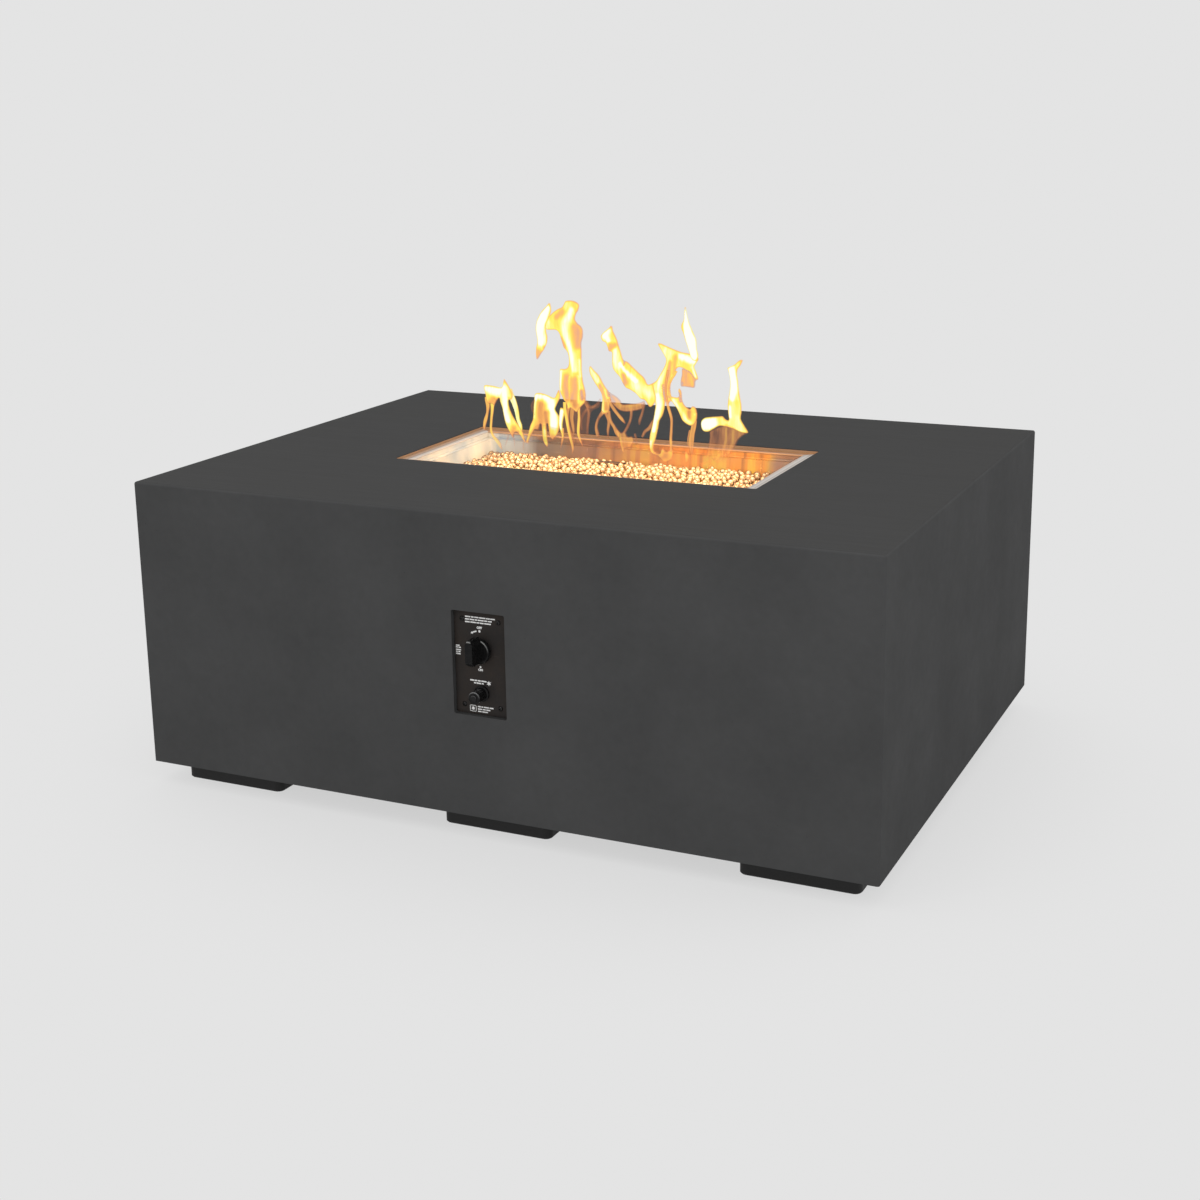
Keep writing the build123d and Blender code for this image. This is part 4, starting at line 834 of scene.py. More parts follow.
class FIRETABLE_OT_burner(bpy.types.Operator):
    """Finish the burner tubes, their fittings, the ignition hood and the probes under it"""

    bl_idname = "firetable.burner"
    bl_label = "Burner and ignition hood"

    def execute(self, context):
        tube = finish(
            "burner_tube", (0.52, 0.48, 0.42), (0.34, 0.26, 0.20), 0.34, metal=1.0, patch=0.03, contrast=1.4,
            grain=(60.0, 900.0, 900.0), grain_rough=0.10, scuff=0.3, scuff_tone=(0.7, 0.68, 0.64),
        )
        wear(
            tube, "burner_manifold", "burner_saddles", "burner_nipple", "burner_locknut", "burner_elbow",
            "electrode_rod", "thermocouple",
        )
        hood = finish(
            "scorched_strip", (0.115, 0.060, 0.032), (0.035, 0.024, 0.020), 0.48, metal=0.75, patch=0.009,
            contrast=1.7, pores=(0.0008, 0.004, 0.5), scuff=0.25, scuff_tone=(0.34, 0.22, 0.12), skin=5e-5,
        )
        wear(hood, "ignition_hood")
        glaze = finish(
            "glazed_insulator", (0.86, 0.84, 0.78), (0.74, 0.69, 0.58), 0.24, patch=0.006, contrast=0.9,
            plain={"Coat Weight": 0.5, "Coat Roughness": 0.12},
        )
        wear(glaze, "electrode_ceramic")
        return {"FINISHED"}


class FIRETABLE_OT_glass(bpy.types.Operator):
    """Pour the fire glass: three layers of loose tumbled beads over the settled bed under them"""

    bl_idname = "firetable.glass"
    bl_label = "Fire glass"

    def execute(self, context):
        given = context.scene.fire_table.glass
        clear = self.clear_glass(given)
        low, high = thing_box("fire_glass")
        tree, sockets = bead_tree()
        mesh = grown(
            "glass_beads", tree, sockets, self.bed_face(low, high, given.bead),
            {"Bead": given.bead, "Spacing": given.gap, "Seed": given.seed, "Material": clear},
        )
        beads = solid("glass_beads", mesh, clear, smooth=True)
        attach(beads, "table")
        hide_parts("fire_glass")
        bed = self.settled_bed(low, high, given.bead)
        core = solid("glass_bed", bed, self.packed_glass(given), smooth=False)
        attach(core, "table")
        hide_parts("fire_glass")
        return {"FINISHED"}

    def crown(self, x, y, low, high):
        """Height of the bed's face: highest along the middle, lower at the walls, with soft hollows."""
        lip, fall, swell = 0.0045, 0.0095, 0.0022
        u = abs(x - (low.x + high.x) / 2) / ((high.x - low.x) / 2)
        v = abs(y - (low.y + high.y) / 2) / ((high.y - low.y) / 2)
        hollow = noise.noise(Vector((x * 22.0, y * 22.0, 3.7)))
        return high.z - lip - fall * max(u**3.0, v**2.6) + swell * hollow

    def bed_face(self, low, high, bead):
        """The face that beads are poured on, open over the ignition hood."""
        hood_low, hood_high = thing_box("ignition_hood")
        rim, hood_deep = bead * 0.62, 0.014
        columns, rows = 92, 38
        work = bmesh.new()
        grid = []
        for j in range(rows + 1):
            y = low.y + rim + (high.y - low.y - 2 * rim) * j / rows
            line = []
            for i in range(columns + 1):
                x = low.x + rim + (high.x - low.x - 2 * rim) * i / columns
                line.append(work.verts.new((x, y, self.crown(x, y, low, high))))
            grid.append(line)
        for j in range(rows):
            for i in range(columns):
                corners = (grid[j][i], grid[j][i + 1], grid[j + 1][i + 1], grid[j + 1][i])
                middle = sum((c.co for c in corners), Vector()) / 4
                beside = not hood_low.x - rim < middle.x < hood_high.x + rim
                if beside or not hood_low.y - rim < middle.y < hood_low.y + hood_deep + rim:
                    work.faces.new(corners)
        return mesh_of(work, "bed_face")

    def settled_bed(self, low, high, bead):
        """The closed body of glass under the loose beads, lumpy where it shows between them."""
        columns, rows, down = 110, 46, bead * 1.35
        floor, lean, lump = low.z + 0.0004, 0.0065, 0.0022
        work = bmesh.new()

        def at(i, j):
            x = low.x + (high.x - low.x) * i / columns
            y = low.y + (high.y - low.y) * j / rows
            lumpy = lump * noise.noise(Vector((x * 160.0, y * 160.0, 1.3)))
            return x, y, self.crown(x, y, low, high) - down + lumpy

        def foot(i, j):
            x, y, _ = at(i, j)
            x -= lean * (1 if x > 0 else -1) * (1 if i in (0, columns) else 0)
            y -= lean * (1 if j == rows else -1) * (1 if j in (0, rows) else 0)
            return x, y, floor

        top = [[work.verts.new(at(i, j)) for i in range(columns + 1)] for j in range(rows + 1)]
        ring = [(i, 0) for i in range(columns)] + [(columns, j) for j in range(rows)]
        ring += [(i, rows) for i in range(columns, 0, -1)] + [(0, j) for j in range(rows, 0, -1)]
        feet = [work.verts.new(foot(i, j)) for i, j in ring]
        for j in range(rows):
            for i in range(columns):
                work.faces.new((top[j][i], top[j][i + 1], top[j + 1][i + 1], top[j + 1][i]))
        for k, (i, j) in enumerate(ring):
            m, n = ring[(k + 1) % len(ring)]
            work.faces.new((top[n][m], top[j][i], feet[k], feet[(k + 1) % len(ring)]))
        work.faces.new(list(reversed(feet)))
        bmesh.ops.recalc_face_normals(work, faces=work.faces)
        return mesh_of(work, "bed")

    def clear_glass(self, given):
        """Tumbled glass, from nearly clear to amber from bead to bead, with a painted highlight where a bead
        faces the camera and a painted dark outline where it is seen edge on.
        """
        material, tree, surface = bare_material("tumbled_glass")
        own = attribute(tree, "bead_tint")
        cloud = effect(tree, mottle_group, {"Patch": 0.006, "Contrast": 1.0})
        shade = blend(tree, times(tree, own, own, 0.7), given.tint, given.amber)
        shade = blend(tree, times(tree, cloud["Mask"], 0.12), shade, (1.0, 0.98, 0.92))
        facing = put(tree, "ShaderNodeLayerWeight", {"Blend": 0.45}).outputs["Facing"]
        # Painted highlight: paler where the bead faces the camera.
        shade = blend(tree, ramp(tree, facing, (0.05, 0.40), (0.14, 0.0)), shade, (1.0, 0.97, 0.88))
        # Painted outline: the rim colour where the bead is seen edge on, in place of the darker surroundings
        # there.
        shade = blend(tree, ramp(tree, facing, (0.22, 0.0), (0.42, 1.0)), shade, given.rim)
        shaded(tree, surface, {
            "Base Color": shade,
            "Roughness": plus(tree, 0.03, times(tree, cloud["Mask"], 0.05)),
            "Transmission Weight": 0.45,
            "IOR": 1.5,
            "Normal": bump(tree, (cloud["Height"], 5e-5)),
        })
        return material

    def packed_glass(self, given):
        """The look of beads packed too deep to tell apart: amber, with glints painted at the middle of each cell
        and shade painted in the gaps between them.
        """
        material, tree, surface = bare_material("packed_glass")
        cells = put(tree, "ShaderNodeTexVoronoi", {"Vector": spot(tree), "Scale": 1.0 / given.bead})
        away = cells.outputs["Distance"]
        glint = ramp(tree, away, (0.12, 1.0), (0.5, 0.25), (0.85, 0.0))
        shaded(tree, surface, {
            "Base Color": blend(tree, glint, (0.46, 0.28, 0.13), (0.86, 0.68, 0.42)),
            "Roughness": 0.25,
            "Normal": bump(tree, (minus(tree, 1.0, away), 0.002)),
        })
        return material


# ------------------------------------------------------------------ operators: panel, valve, knob and igniter


class FIRETABLE_OT_panel(bpy.types.Operator):
    """Finish the control panel and its screws, and print the panel's marks"""

    bl_idname = "firetable.panel"
    bl_label = "Control panel"

    def execute(self, context):
        given = context.scene.fire_table.panel
        coat = finish(
            "panel_powder_coat", (0.0300, 0.0272, 0.0262), (0.0390, 0.0318, 0.0275), 0.46, patch=0.035,
            contrast=1.2, pores=(0.0005, 0.0022, 0.5), scuff=0.25, scuff_tone=(0.075, 0.07, 0.066), skin=2e-5,
            plain={"Specular IOR Level": 0.08},
        )
        wear(coat, "control_panel")
        screw = finish(
            "blackened_screw", (0.006, 0.006, 0.006), (0.014, 0.013, 0.012), 0.14, patch=0.003,
            contrast=1.2, scuff=0.5, scuff_tone=(0.16, 0.15, 0.14), plain={"Specular IOR Level": 0.3},
        )
        wear(screw, "panel_screws")
        self.print_marks(given)
        return {"FINISHED"}

    def print_marks(self, given):
        """OFF, ON, the turning arrow, the spark mark and rows of plain dashes, as a film of ink."""
        ink = finish(
            "printed_ink", tuple(given.ink), darker(given.ink, 0.86), 0.5, patch=0.002, contrast=1.2,
            pores=(0.0002, 0.0012, 0.5), skin=5e-6,
        )
        face = thing_box("control_panel")[0].y
        knob, igniter = turned_axis("control_knob")[0], turned_axis("igniter_body")[0]
        bits = []

        def add(mesh, origin, x, z):
            place = Matrix.Translation((origin[0] + x * MM, face + 0.00002, origin[1] + z * MM))
            mesh.transform(place @ Matrix.Rotation(math.pi / 2, 4, "X"))
            bits.append(mesh)

        def rule(origin, x, z, long, tall):
            half_long, half_tall = long / 2 * MM, tall / 2 * MM
            add(block((-half_long, -half_tall, 0), (half_long, half_tall, given.film)), origin, x, z)

        def line(origin, x, z, tall, words):
            """A row of word-long dashes from x, a millimetre apart."""
            for long in words:
                rule(origin, x + long / 2, z, long, tall)
                x += long + 1.0

        for words, z, r, dot in (("OFF", 33.4, 1.8, 28.2), ("ON", -31.2, 1.6, -26.6)):
            add(self.words(words, 3.5 * MM, given.film), knob, -1.6, z)
            add(self.disc(r * MM, given.film), knob, -1.6, dot)
        add(self.arrow(28.6 * MM, math.radians(103), math.radians(118), given.film), knob, 0, 0)
        add(self.cut(self.spark(4.2 * MM), given.film), igniter, 11.6, 16.6)
        for origin, x, z, tall, words in (
            (knob, -25.0, 48.9, 1.9, (9.0, 4.6, 7.2, 10.4, 6.0, 7.6)),
            (knob, -25.0, 44.9, 1.9, (6.6, 8.2, 3.4, 9.8, 5.0, 6.4)),
            (knob, -25.0, 40.9, 1.9, (7.8, 9.2, 4.4, 6.6, 11.0)),
            (knob, -42.0, 2.6, 2.0, (6.4,)),
            (knob, -42.0, -0.2, 2.0, (3.4, 4.2)),
            (knob, -42.0, -4.0, 2.0, (8.4,)),
            (knob, -42.0, -7.0, 2.0, (3.0, 3.6)),
            (knob, -42.0, -10.2, 2.0, (7.6,)),
            (igniter, -19.6, 18.7, 2.1, (6.2, 4.4, 5.0, 8.6)),
            (igniter, -13.4, 14.9, 2.1, (3.2, 8.0, 3.0)),
            (igniter, -8.2, -21.6, 1.9, (5.0, 3.2, 8.4, 6.6)),
            (igniter, -8.2, -25.4, 1.9, (7.4, 4.6, 6.8)),
            (igniter, -8.2, -29.0, 1.9, (6.2, 9.4)),
        ):
            line(origin, x, z, tall, words)
        for side in (-1, 1):
            rule(igniter, -16.0, -25.1 + side * 4.5, 10.8, 0.9)
            rule(igniter, -16.0 + side * 4.95, -25.1, 0.9, 9.9)
        add(self.disc(2.5 * MM, given.film), igniter, -16.0, -25.1)
        marks = solid("panel_print", joined(*bits), ink)
        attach(marks, "table")

    def words(self, text, tall, film):
        """Plain capitals, centred."""
        curve = bpy.data.curves.new(text, "FONT")
        curve.body, curve.size = text, tall * 1.38
        curve.align_x, curve.align_y = "CENTER", "CENTER"
        curve.extrude, curve.resolution_u = film / 2, 4
        curve.offset = tall * 0.085
        letters = bpy.data.objects.new(text, curve)
        bpy.context.scene.collection.objects.link(letters)
        return applied(letters, Matrix.Translation((0, 0, film / 2)))

    def cut(self, points, film):
        """A flat shape, as thick as the film."""
        work = bmesh.new()
        face = work.faces.new([work.verts.new((x, y, 0)) for x, y in points])
        if face.normal.z > 0:
            face.normal_flip()
        raised = bmesh.ops.extrude_face_region(work, geom=[face])["geom"]
        corners = [g for g in raised if isinstance(g, bmesh.types.BMVert)]
        bmesh.ops.translate(work, vec=(0, 0, film), verts=corners)
        bmesh.ops.recalc_face_normals(work, faces=work.faces)
        return mesh_of(work, "cut")

    def disc(self, r, film):
        """A printed dot."""
        steps = 20
        return self.cut([self.round(r, 2 * math.pi * i / steps) for i in range(steps)], film)

    def round(self, r, angle):
        """The point at a radius and an angle."""
        return r * math.cos(angle), r * math.sin(angle)

    def arrow(self, r, start, end, film):
        """A curved arrow that points the way the knob turns."""
        wide, head, steps = 1.0 * MM, 2.0 * MM, 14
        angles = [start + (end - start) * i / steps for i in range(steps + 1)]
        outside = [self.round(r + wide, a) for a in angles]
        inside = [self.round(r - wide, a) for a in reversed(angles)]
        tip = [self.round(r + head, end), self.round(r, end + 3.2 * MM / r), self.round(r - head, end)]
        return self.cut(outside + tip + inside, film)

    def spark(self, r):
        """The outline of a six-pointed spark."""
        return [self.round(r * (0.46 if i % 2 else 1.0), math.pi / 2 + math.pi * i / 6) for i in range(12)]


class FIRETABLE_OT_valve(bpy.types.Operator):
    """Finish the gas valve, its springs and fittings, and the rigid feed tube"""

    bl_idname = "firetable.valve"
    bl_label = "Gas valve and feed"

    def execute(self, context):
        cast = finish(
            "forged_brass", (0.60, 0.43, 0.17), (0.44, 0.30, 0.12), 0.42, metal=1.0, patch=0.007, contrast=1.3,
            pores=(0.0005, 0.0028, 0.4), scuff=0.3, scuff_tone=(0.80, 0.66, 0.36), skin=3e-5,
        )
        wear(cast, "gas_valve_body", "valve_bonnet", "inlet_elbow")
        turned = finish(
            "turned_brass", (0.72, 0.54, 0.24), (0.60, 0.43, 0.18), 0.26, metal=1.0, patch=0.01,
            grain=(160.0, 2600.0, 2600.0), grain_rough=0.14, scuff=0.3, scuff_tone=(0.85, 0.72, 0.42),
        )
        wear(
            turned, "valve_plug", "valve_stem", "outlet_fitting", "feed_nuts", "air_mixer", "panel_inserts",
            "safety_magnet",
        )
        tube = finish(
            "drawn_aluminium", (0.66, 0.67, 0.68), (0.54, 0.55, 0.56), 0.36, metal=1.0, patch=0.012,
            grain=(900.0, 20.0, 900.0), grain_rough=0.14, scuff=0.45, scuff_tone=(0.82, 0.82, 0.82),
        )
        wear(tube, "gas_feed_tube")
        wire = finish(
            "spring_wire", (0.50, 0.49, 0.46), (0.36, 0.34, 0.31), 0.30, metal=1.0, patch=0.003, contrast=1.2,
            scuff=0.3, scuff_tone=(0.7, 0.7, 0.68),
        )
        wear(wire, "stem_spring", "cell_spring", "button_spring")
        return {"FINISHED"}


class FIRETABLE_OT_knob(bpy.types.Operator):
    """Finish the gas knob: dark moulded plastic with highlights painted along the upper edges of its rims"""

    bl_idname = "firetable.knob"
    bl_label = "Gas knob"

    def execute(self, context):
        # The last two arguments paint highlights: along the upper rim of the skirt and the top edge at the knob's
        # front.
        plastic = finish(
            "moulded_knob", (0.0060, 0.0060, 0.0063), (0.0105, 0.0104, 0.0103), 0.24, patch=0.008,
            pores=(0.0003, 0.0020, 0.4), scuff=0.35, scuff_tone=(0.06, 0.06, 0.06), rough_spread=0.12,
            skin=1.2e-5, plain={"Specular IOR Level": 0.12}, highlight_tone=(0.26, 0.26, 0.255),
            painted_highlights=(
                painted_highlight_ring("control_knob", (17.4, 18.8), (25.0, 26.7)),
                painted_highlight_ring("control_knob", (21.5, 25.0), (-0.5, 1.4)),
            ),
        )
        wear(plastic, "control_knob")
        return {"FINISHED"}


class FIRETABLE_OT_igniter(bpy.types.Operator):
    """Finish the igniter: its body and cap, the push button and the cell inside"""

    bl_idname = "firetable.igniter"
    bl_label = "Igniter"

    def execute(self, context):
        # Painted highlight along the upper part of the cap's front rim.
        nylon = finish(
            "igniter_nylon", (0.0065, 0.0065, 0.0068), (0.0120, 0.0118, 0.0118), 0.20, patch=0.005,
            pores=(0.0003, 0.0018, 0.35), scuff=0.35, scuff_tone=(0.07, 0.07, 0.07), skin=1.2e-5,
            plain={"Specular IOR Level": 0.14},
            highlight_tone=(0.20, 0.20, 0.20), painted_highlights=(painted_highlight_ring("igniter_cap", (8.3, 9.8), (-0.4, 1.2)),),
        )
        wear(nylon, "igniter_body", "igniter_cap", "igniter_locknut")
        # Painted highlight along the upper part of the button's front rim.
        button = finish(
            "polished_button", (0.0060, 0.0060, 0.0062), (0.0105, 0.0103, 0.0102), 0.14, patch=0.004,
            scuff=0.5, scuff_tone=(0.08, 0.08, 0.08), plain={"Specular IOR Level": 0.22},
            highlight_tone=(0.12, 0.12, 0.12), painted_highlights=(painted_highlight_ring("igniter_button", (4.2, 5.2), (-0.4, 0.6)),),
        )
        wear(button, "igniter_button")
        sleeve = finish(
            "cell_sleeve", (0.10, 0.11, 0.125), (0.16, 0.17, 0.18), 0.30, metal=0.6, patch=0.01, contrast=0.9,
            grain=(900.0, 30.0, 900.0), grain_rough=0.08, scuff=0.3, scuff_tone=(0.4, 0.4, 0.4),
        )
        wear(sleeve, "igniter_cell")
        return {"FINISHED"}


# ------------------------------------------------------------------ operators: burning gas and stage

FLAME_LAYERS = ("flame_heat", "flame_edge", "flame_density")

# Each sheet of flame: how far it stands behind the middle of the rear burner tube, its heat and density, its
# outline as (x, z), and the hotter and cooler streaks in it as (amount, points of (x, z, half width)). Then the
# loose strands: behind, heat, density and points of (x, z, half width) from tip to root. All in millimetres.
SHEETS = (
    (0, 0.62, 1, ((-255.4, 595.7), (-237.8, 596.7), (-220.3, 595.1), (-216.9, 609.2), (-210.3, 603.5), (-202.9,
     591.8), (-199.4, 581.5), (-203.5, 572.6), (-208.4, 572.3), (-207.7, 561.9), (-202.3, 548.3), (-194.9, 534.8),
     (-187.5, 523), (-180.1, 509.5), (-176.6, 499.2), (-182.3, 502.3), (-191.7, 512.2), (-199.4, 515.2), (-203.5,
     506.1), (-207.4, 507.6), (-211.1, 514.4), (-216.5, 528.1), (-219.9, 543.6), (-223.4, 557.4), (-227, 567.7),
     (-227.7, 574.6), (-232.8, 569.1), (-239, 559.9), (-242.8, 563.2), (-248.7, 562.8), (-252.4, 569.6), (-253.9,
     581.8)),
     ((1, ((-247.7, 590.9, 7.5), (-228.3, 586.8, 9.3), (-214.5, 592.8, 7.4), (-213.1, 575.5, 8.3), (-215.7, 554.4,
      7.4), (-210.4, 537.2, 4.6))), (-1, ((-236.6, 572.3, 5.6), (-244.7, 564.8, 5.6))), (-0.8, ((-206.3, 575.9,
      2.8), (-203.6, 569.1, 1.8))), (-1, ((-201.1, 523.8, 5.6), (-205.3, 513, 5.6), (-193.5, 517.3, 3.7))))),
    (-4, 0.6, 1, ((-157.7, 586.4), (-147.2, 589.1), (-133.9, 586.4), (-120.7, 582.6), (-114.9, 590.7), (-110,
     597.8), (-106.5, 586), (-111.4, 575.4), (-114.4, 570.1), (-117.4, 563), (-113.8, 556.4), (-110.1, 549.7),
     (-110.4, 537.6), (-110.6, 527.2), (-116.6, 516.4), (-124.4, 508.9), (-130, 513.7), (-131.6, 525.8), (-133.2,
     536.1), (-134.7, 515.1), (-134.6, 497.7), (-139, 495.7), (-143.5, 507.6), (-145, 524.9), (-146.6, 535.2),
     (-150.7, 524.5), (-158.4, 523.9), (-164.5, 513.1), (-170.6, 500.4), (-175.4, 500.1), (-170.2, 516.2),
     (-165.9, 532.2), (-159.8, 544.7), (-157.5, 558.8), (-158.1, 572.6)),
     ((1, ((-154.9, 583.1, 5.5), (-137.8, 582.4, 6.3), (-124.7, 574.6, 9), (-121.3, 557.6, 8.1), (-119.9, 537,
      8.1))), (0.6, ((-154.2, 576.3, 3.6), (-155.9, 548.5, 3.7))), (0.7, ((-136.4, 525.4, 2.2), (-136, 501.1,
      2.2))), (-1, ((-141.9, 570.1, 9.1), (-142.6, 542.4, 9.1), (-152.6, 526.1, 6.4))), (-1, ((-130.8, 557, 4.5),
      (-131.7, 522.3, 4.5))), (-0.8, ((-124.2, 514.1, 6.4),)))),
    (-2, 0.75, 1, ((-110.8, 564.8), (-103.2, 565.3), (-99.3, 572.4), (-100.5, 558.6), (-103.6, 544.6), (-104.9,
     530.7), (-104.3, 516.9), (-107.5, 501), (-109.5, 493.9), (-109, 516.5), (-110.7, 526.8), (-112.2, 544)),
     ((1, ((-107.1, 559.9, 3.6), (-107.7, 530.5, 3.6))),)),
    (4, 0.6, 1, ((-100.3, 746.2), (-90.9, 748.2), (-79.8, 747), (-72.5, 741.4), (-74.5, 732.1), (-79.3, 725.2),
     (-82.3, 716.7), (-78.7, 710.2), (-72.3, 705.4), (-68.7, 698.8), (-68, 687.1), (-70.1, 676.9), (-69.4, 661.7),
     (-69.8, 644.8), (-71, 627.8), (-69.5, 610.8), (-66, 599.1), (-63.4, 587.3), (-64.5, 577), (-74.1, 566.1),
     (-79.9, 558.9), (-87.3, 561.8), (-92.9, 564.9), (-98.7, 561.1), (-102.2, 571.2), (-107.7, 577.8), (-113.1,
     591.2), (-113.8, 604.9), (-113.4, 618.6), (-112.2, 630.6), (-102.8, 632), (-97.1, 634.9), (-94.1, 643.5),
     (-94.8, 655.4), (-98.4, 662), (-104.8, 668.5), (-108.3, 680.2), (-110.8, 691.9), (-116.3, 696.7), (-125.8,
     696.3), (-134.3, 695.9), (-138, 697.4), (-136.8, 709.4), (-130.9, 718.9), (-123.2, 726.8), (-115.5, 732.2),
     (-108, 735.8), (-104.1, 741)),
     ((1, ((-85.6, 733.4, 4.4), (-91.4, 723.1, 6.2), (-97.3, 711, 7.1), (-98.5, 697.5, 7.1), (-96, 684.1, 6.2),
      (-90.7, 670.8, 5.3), (-85.4, 657.6, 6.2), (-83.8, 644.1, 6.2), (-82.2, 630.6, 4.5))), (0.5, ((-94.8, 739.7,
      8.8),)), (0.7, ((-72.1, 648.1, 2.7), (-73, 620.8, 2.7))), (0.7, ((-109.5, 627.4, 3.6), (-110.8, 611.9, 3.2),
      (-111.1, 596.5, 3.2))), (0.6, ((-131.1, 709.6, 5.4), (-134.1, 701, 5.4))), (-0.9, ((-106.3, 727.5, 6.2),
      (-113, 720.5, 5.3))), (-1, ((-80.7, 703.3, 7.1), (-76.3, 688.4, 8.8), (-75.7, 671.6, 5.3))), (-0.9,
      ((-106.3, 683.6, 3.2), (-101, 670.3, 3.6))), (-1.1, ((-97.4, 617.8, 7.2), (-99.7, 598.8, 8.1), (-96.3,
      581.9, 8.1))), (-1, ((-84.4, 613.4, 6.4), (-82.9, 593, 8), (-83.4, 572.4, 8.9))), (-1.5, ((-71.6, 595.4,
      3.2), (-69.1, 583.5, 3.9))), (0.55, ((-91.4, 619.8, 1.4), (-92.3, 592.4, 1.6), (-94.6, 573.4, 1.8))), (0.5,
      ((-77.7, 620.6, 1.8), (-75.3, 598.6, 1.8), (-75.8, 576.3, 2))))),
    (-14, 0.7, 1, ((-120.3, 745.8), (-117.7, 737.6), (-118.9, 727.5), (-123.8, 717.2), (-127.8, 707), (-126.2,
     696.9), (-123.6, 686.9), (-124.8, 676.7), (-130.7, 666.3), (-138.4, 657.4), (-144.3, 648.7), (-147.3, 645.1),
     (-149.5, 655.2), (-148.6, 667.1), (-145.5, 677.5), (-146.1, 689.3), (-147.7, 701), (-146.4, 712.9), (-141.5,
     723.2), (-134.7, 731.9), (-127, 738.9)),
     ((1, ((-123.3, 735.7, 3.6), (-133, 721.9, 7.1), (-137.2, 704.9, 9.8), (-135.8, 688.1, 8.9), (-136, 677.9,
      7.2))), (-1, ((-142.1, 660.7, 6.3), (-146.2, 650.3, 3.6))), (-0.5, ((-130.6, 669.7, 3.6),)))),
    (14, 0.62, 0.95, ((-57.8, 643.1), (-56, 637.3), (-51.5, 630.7), (-44.2, 622.6), (-37, 611.1), (-29.7, 601.3),
     (-24.2, 594.8), (-22.5, 584.7), (-24.6, 574.3), (-26.6, 560.5), (-33.2, 556.7), (-40.6, 557.9), (-41.3,
     571.6), (-39.3, 583.7), (-41, 593.8), (-48.2, 603.7), (-55.5, 613.5), (-60, 623.4), (-60.7, 633.6)),
     ((0.8, ((-57, 635.5, 2.7), (-51.6, 622.2, 5.3), (-46.2, 612.3, 3.9))), (0.6, ((-38.3, 587.2, 2.5), (-38.9,
      570, 2.7), (-37.8, 561.5, 2.7))), (0.4, ((-32.5, 597.7, 1.6), (-28.1, 584.4, 1.8))), (-1, ((-40.8, 605.8,
      2.8), (-35.4, 594.2, 3.9), (-31.9, 579, 4.4), (-31.2, 565.4, 3.9))), (-1.3, ((-27, 596.4, 1.8), (-25.3, 588,
      1.8))))),
    (20, 0.3, 0.75, ((-28.8, 595.3), (-21.5, 592.3), (-12.3, 587.7), (-5, 581.4), (-1.4, 576.5), (15.2, 577.5),
     (28.1, 580), (37.3, 583.9), (39, 577.3), (33.4, 568.4), (20.6, 564.2), (5.8, 562.4), (-7.1, 564.2), (-14.4,
     568.8), (-21.7, 575.2), (-27.2, 583.4)),
     ((-0.7, ((-23.4, 587.1, 3.5), (-16.1, 579, 3.5))), (0.3, ((-19.7, 587.3, 2.6), (-5.1, 572.8, 3.5), (28,
      576.6, 3.5))))),
    (12, 0.36, 0.7, ((-13.1, 536.1), (-3.9, 528.1), (3.5, 532.1), (8.9, 522.2), (16.3, 522.7), (21.7, 516.2),
     (16.1, 503.8), (6.8, 501.4), (4.9, 496.1), (6.6, 487.6), (1.1, 492.4), (-4.3, 504.1), (-7.8, 514.1), (-13.3,
     524.1)),
     ((0.6, ((-9.5, 529.5, 2.3), (-2.3, 512.8, 2.5), (2.1, 497.6, 2.5))),)),
    (-6, 0.66, 1, ((-7.8, 712), (-6.1, 701.3), (-0.9, 688.2), (2.6, 675), (7.9, 662), (12.3, 654.7), (20.4,
     651.8), (29.4, 644.7), (40.1, 635.3), (49.1, 626.6), (54.4, 616.1), (63.4, 617.4), (66.9, 606.8), (70.4,
     593.6), (66.7, 583.3), (57.6, 577.7), (48.7, 587.3), (39.7, 590.1), (32.5, 598), (23.5, 604.2), (14.4,
     607.9), (9.1, 615.2), (4.6, 625), (-1.7, 632.2), (-7, 639.5), (-9.6, 651.1), (-11.2, 664.4), (-17.6, 666.5),
     (-20.2, 673.9), (-22.9, 680.5), (-28.3, 683.6), (-30, 691.9), (-24.4, 698.8), (-15.2, 705.8)),
     ((1, ((-13.4, 702.6, 4.3), (-19, 694, 6.9), (-15.5, 685.9, 4.3))), (0.5, ((-4.8, 669.7, 3.5), (-1.4, 653.2,
      6.1), (4, 643.4, 5.2))), (1, ((7.7, 648.6, 2.3), (16.6, 639, 2.8), (27.4, 629.6, 4.5), (36.4, 621.7, 3.4))),
      (0.45, ((34.5, 614.9, 8.6), (57.8, 599.5, 6.9))), (-1.1, ((-12, 676, 6.1), (-15.7, 670, 3.5), (-4.6, 678,
      4.3))), (-1.1, ((14.7, 628.9, 5.2), (16.4, 618.9, 6.1), (11.7, 612, 3.5))), (-1.6, ((12.8, 653.9, 1.4),
      (14.9, 647.3, 1.4))), (-0.8, ((45.1, 587, 4.3), (55.8, 581, 3.4))))),
    (6, 0.64, 1, ((66.8, 681.5), (73.1, 683.4), (83.8, 679.8), (96.2, 675.5), (110.4, 671.2), (124.5, 669.4),
     (135.1, 666.7), (141.2, 660.4), (136.8, 653.6), (133.3, 646.8), (136.8, 638.7), (141.2, 627.4), (135, 627.1),
     (126.2, 636.5), (117.4, 641), (111.2, 644), (104.9, 644.5), (100.5, 640.1), (99.5, 631.7), (94.1, 624.8),
     (90.5, 614.6), (90.4, 601.2), (91.2, 589.5), (86.7, 582.6), (81.3, 585.6), (80.4, 575.5), (77.6, 563.5),
     (72.1, 554.7), (69.3, 544.4), (65.6, 530.6), (62.8, 520.2), (60, 511.5), (60.8, 503.1), (69.8, 498.6), (73.5,
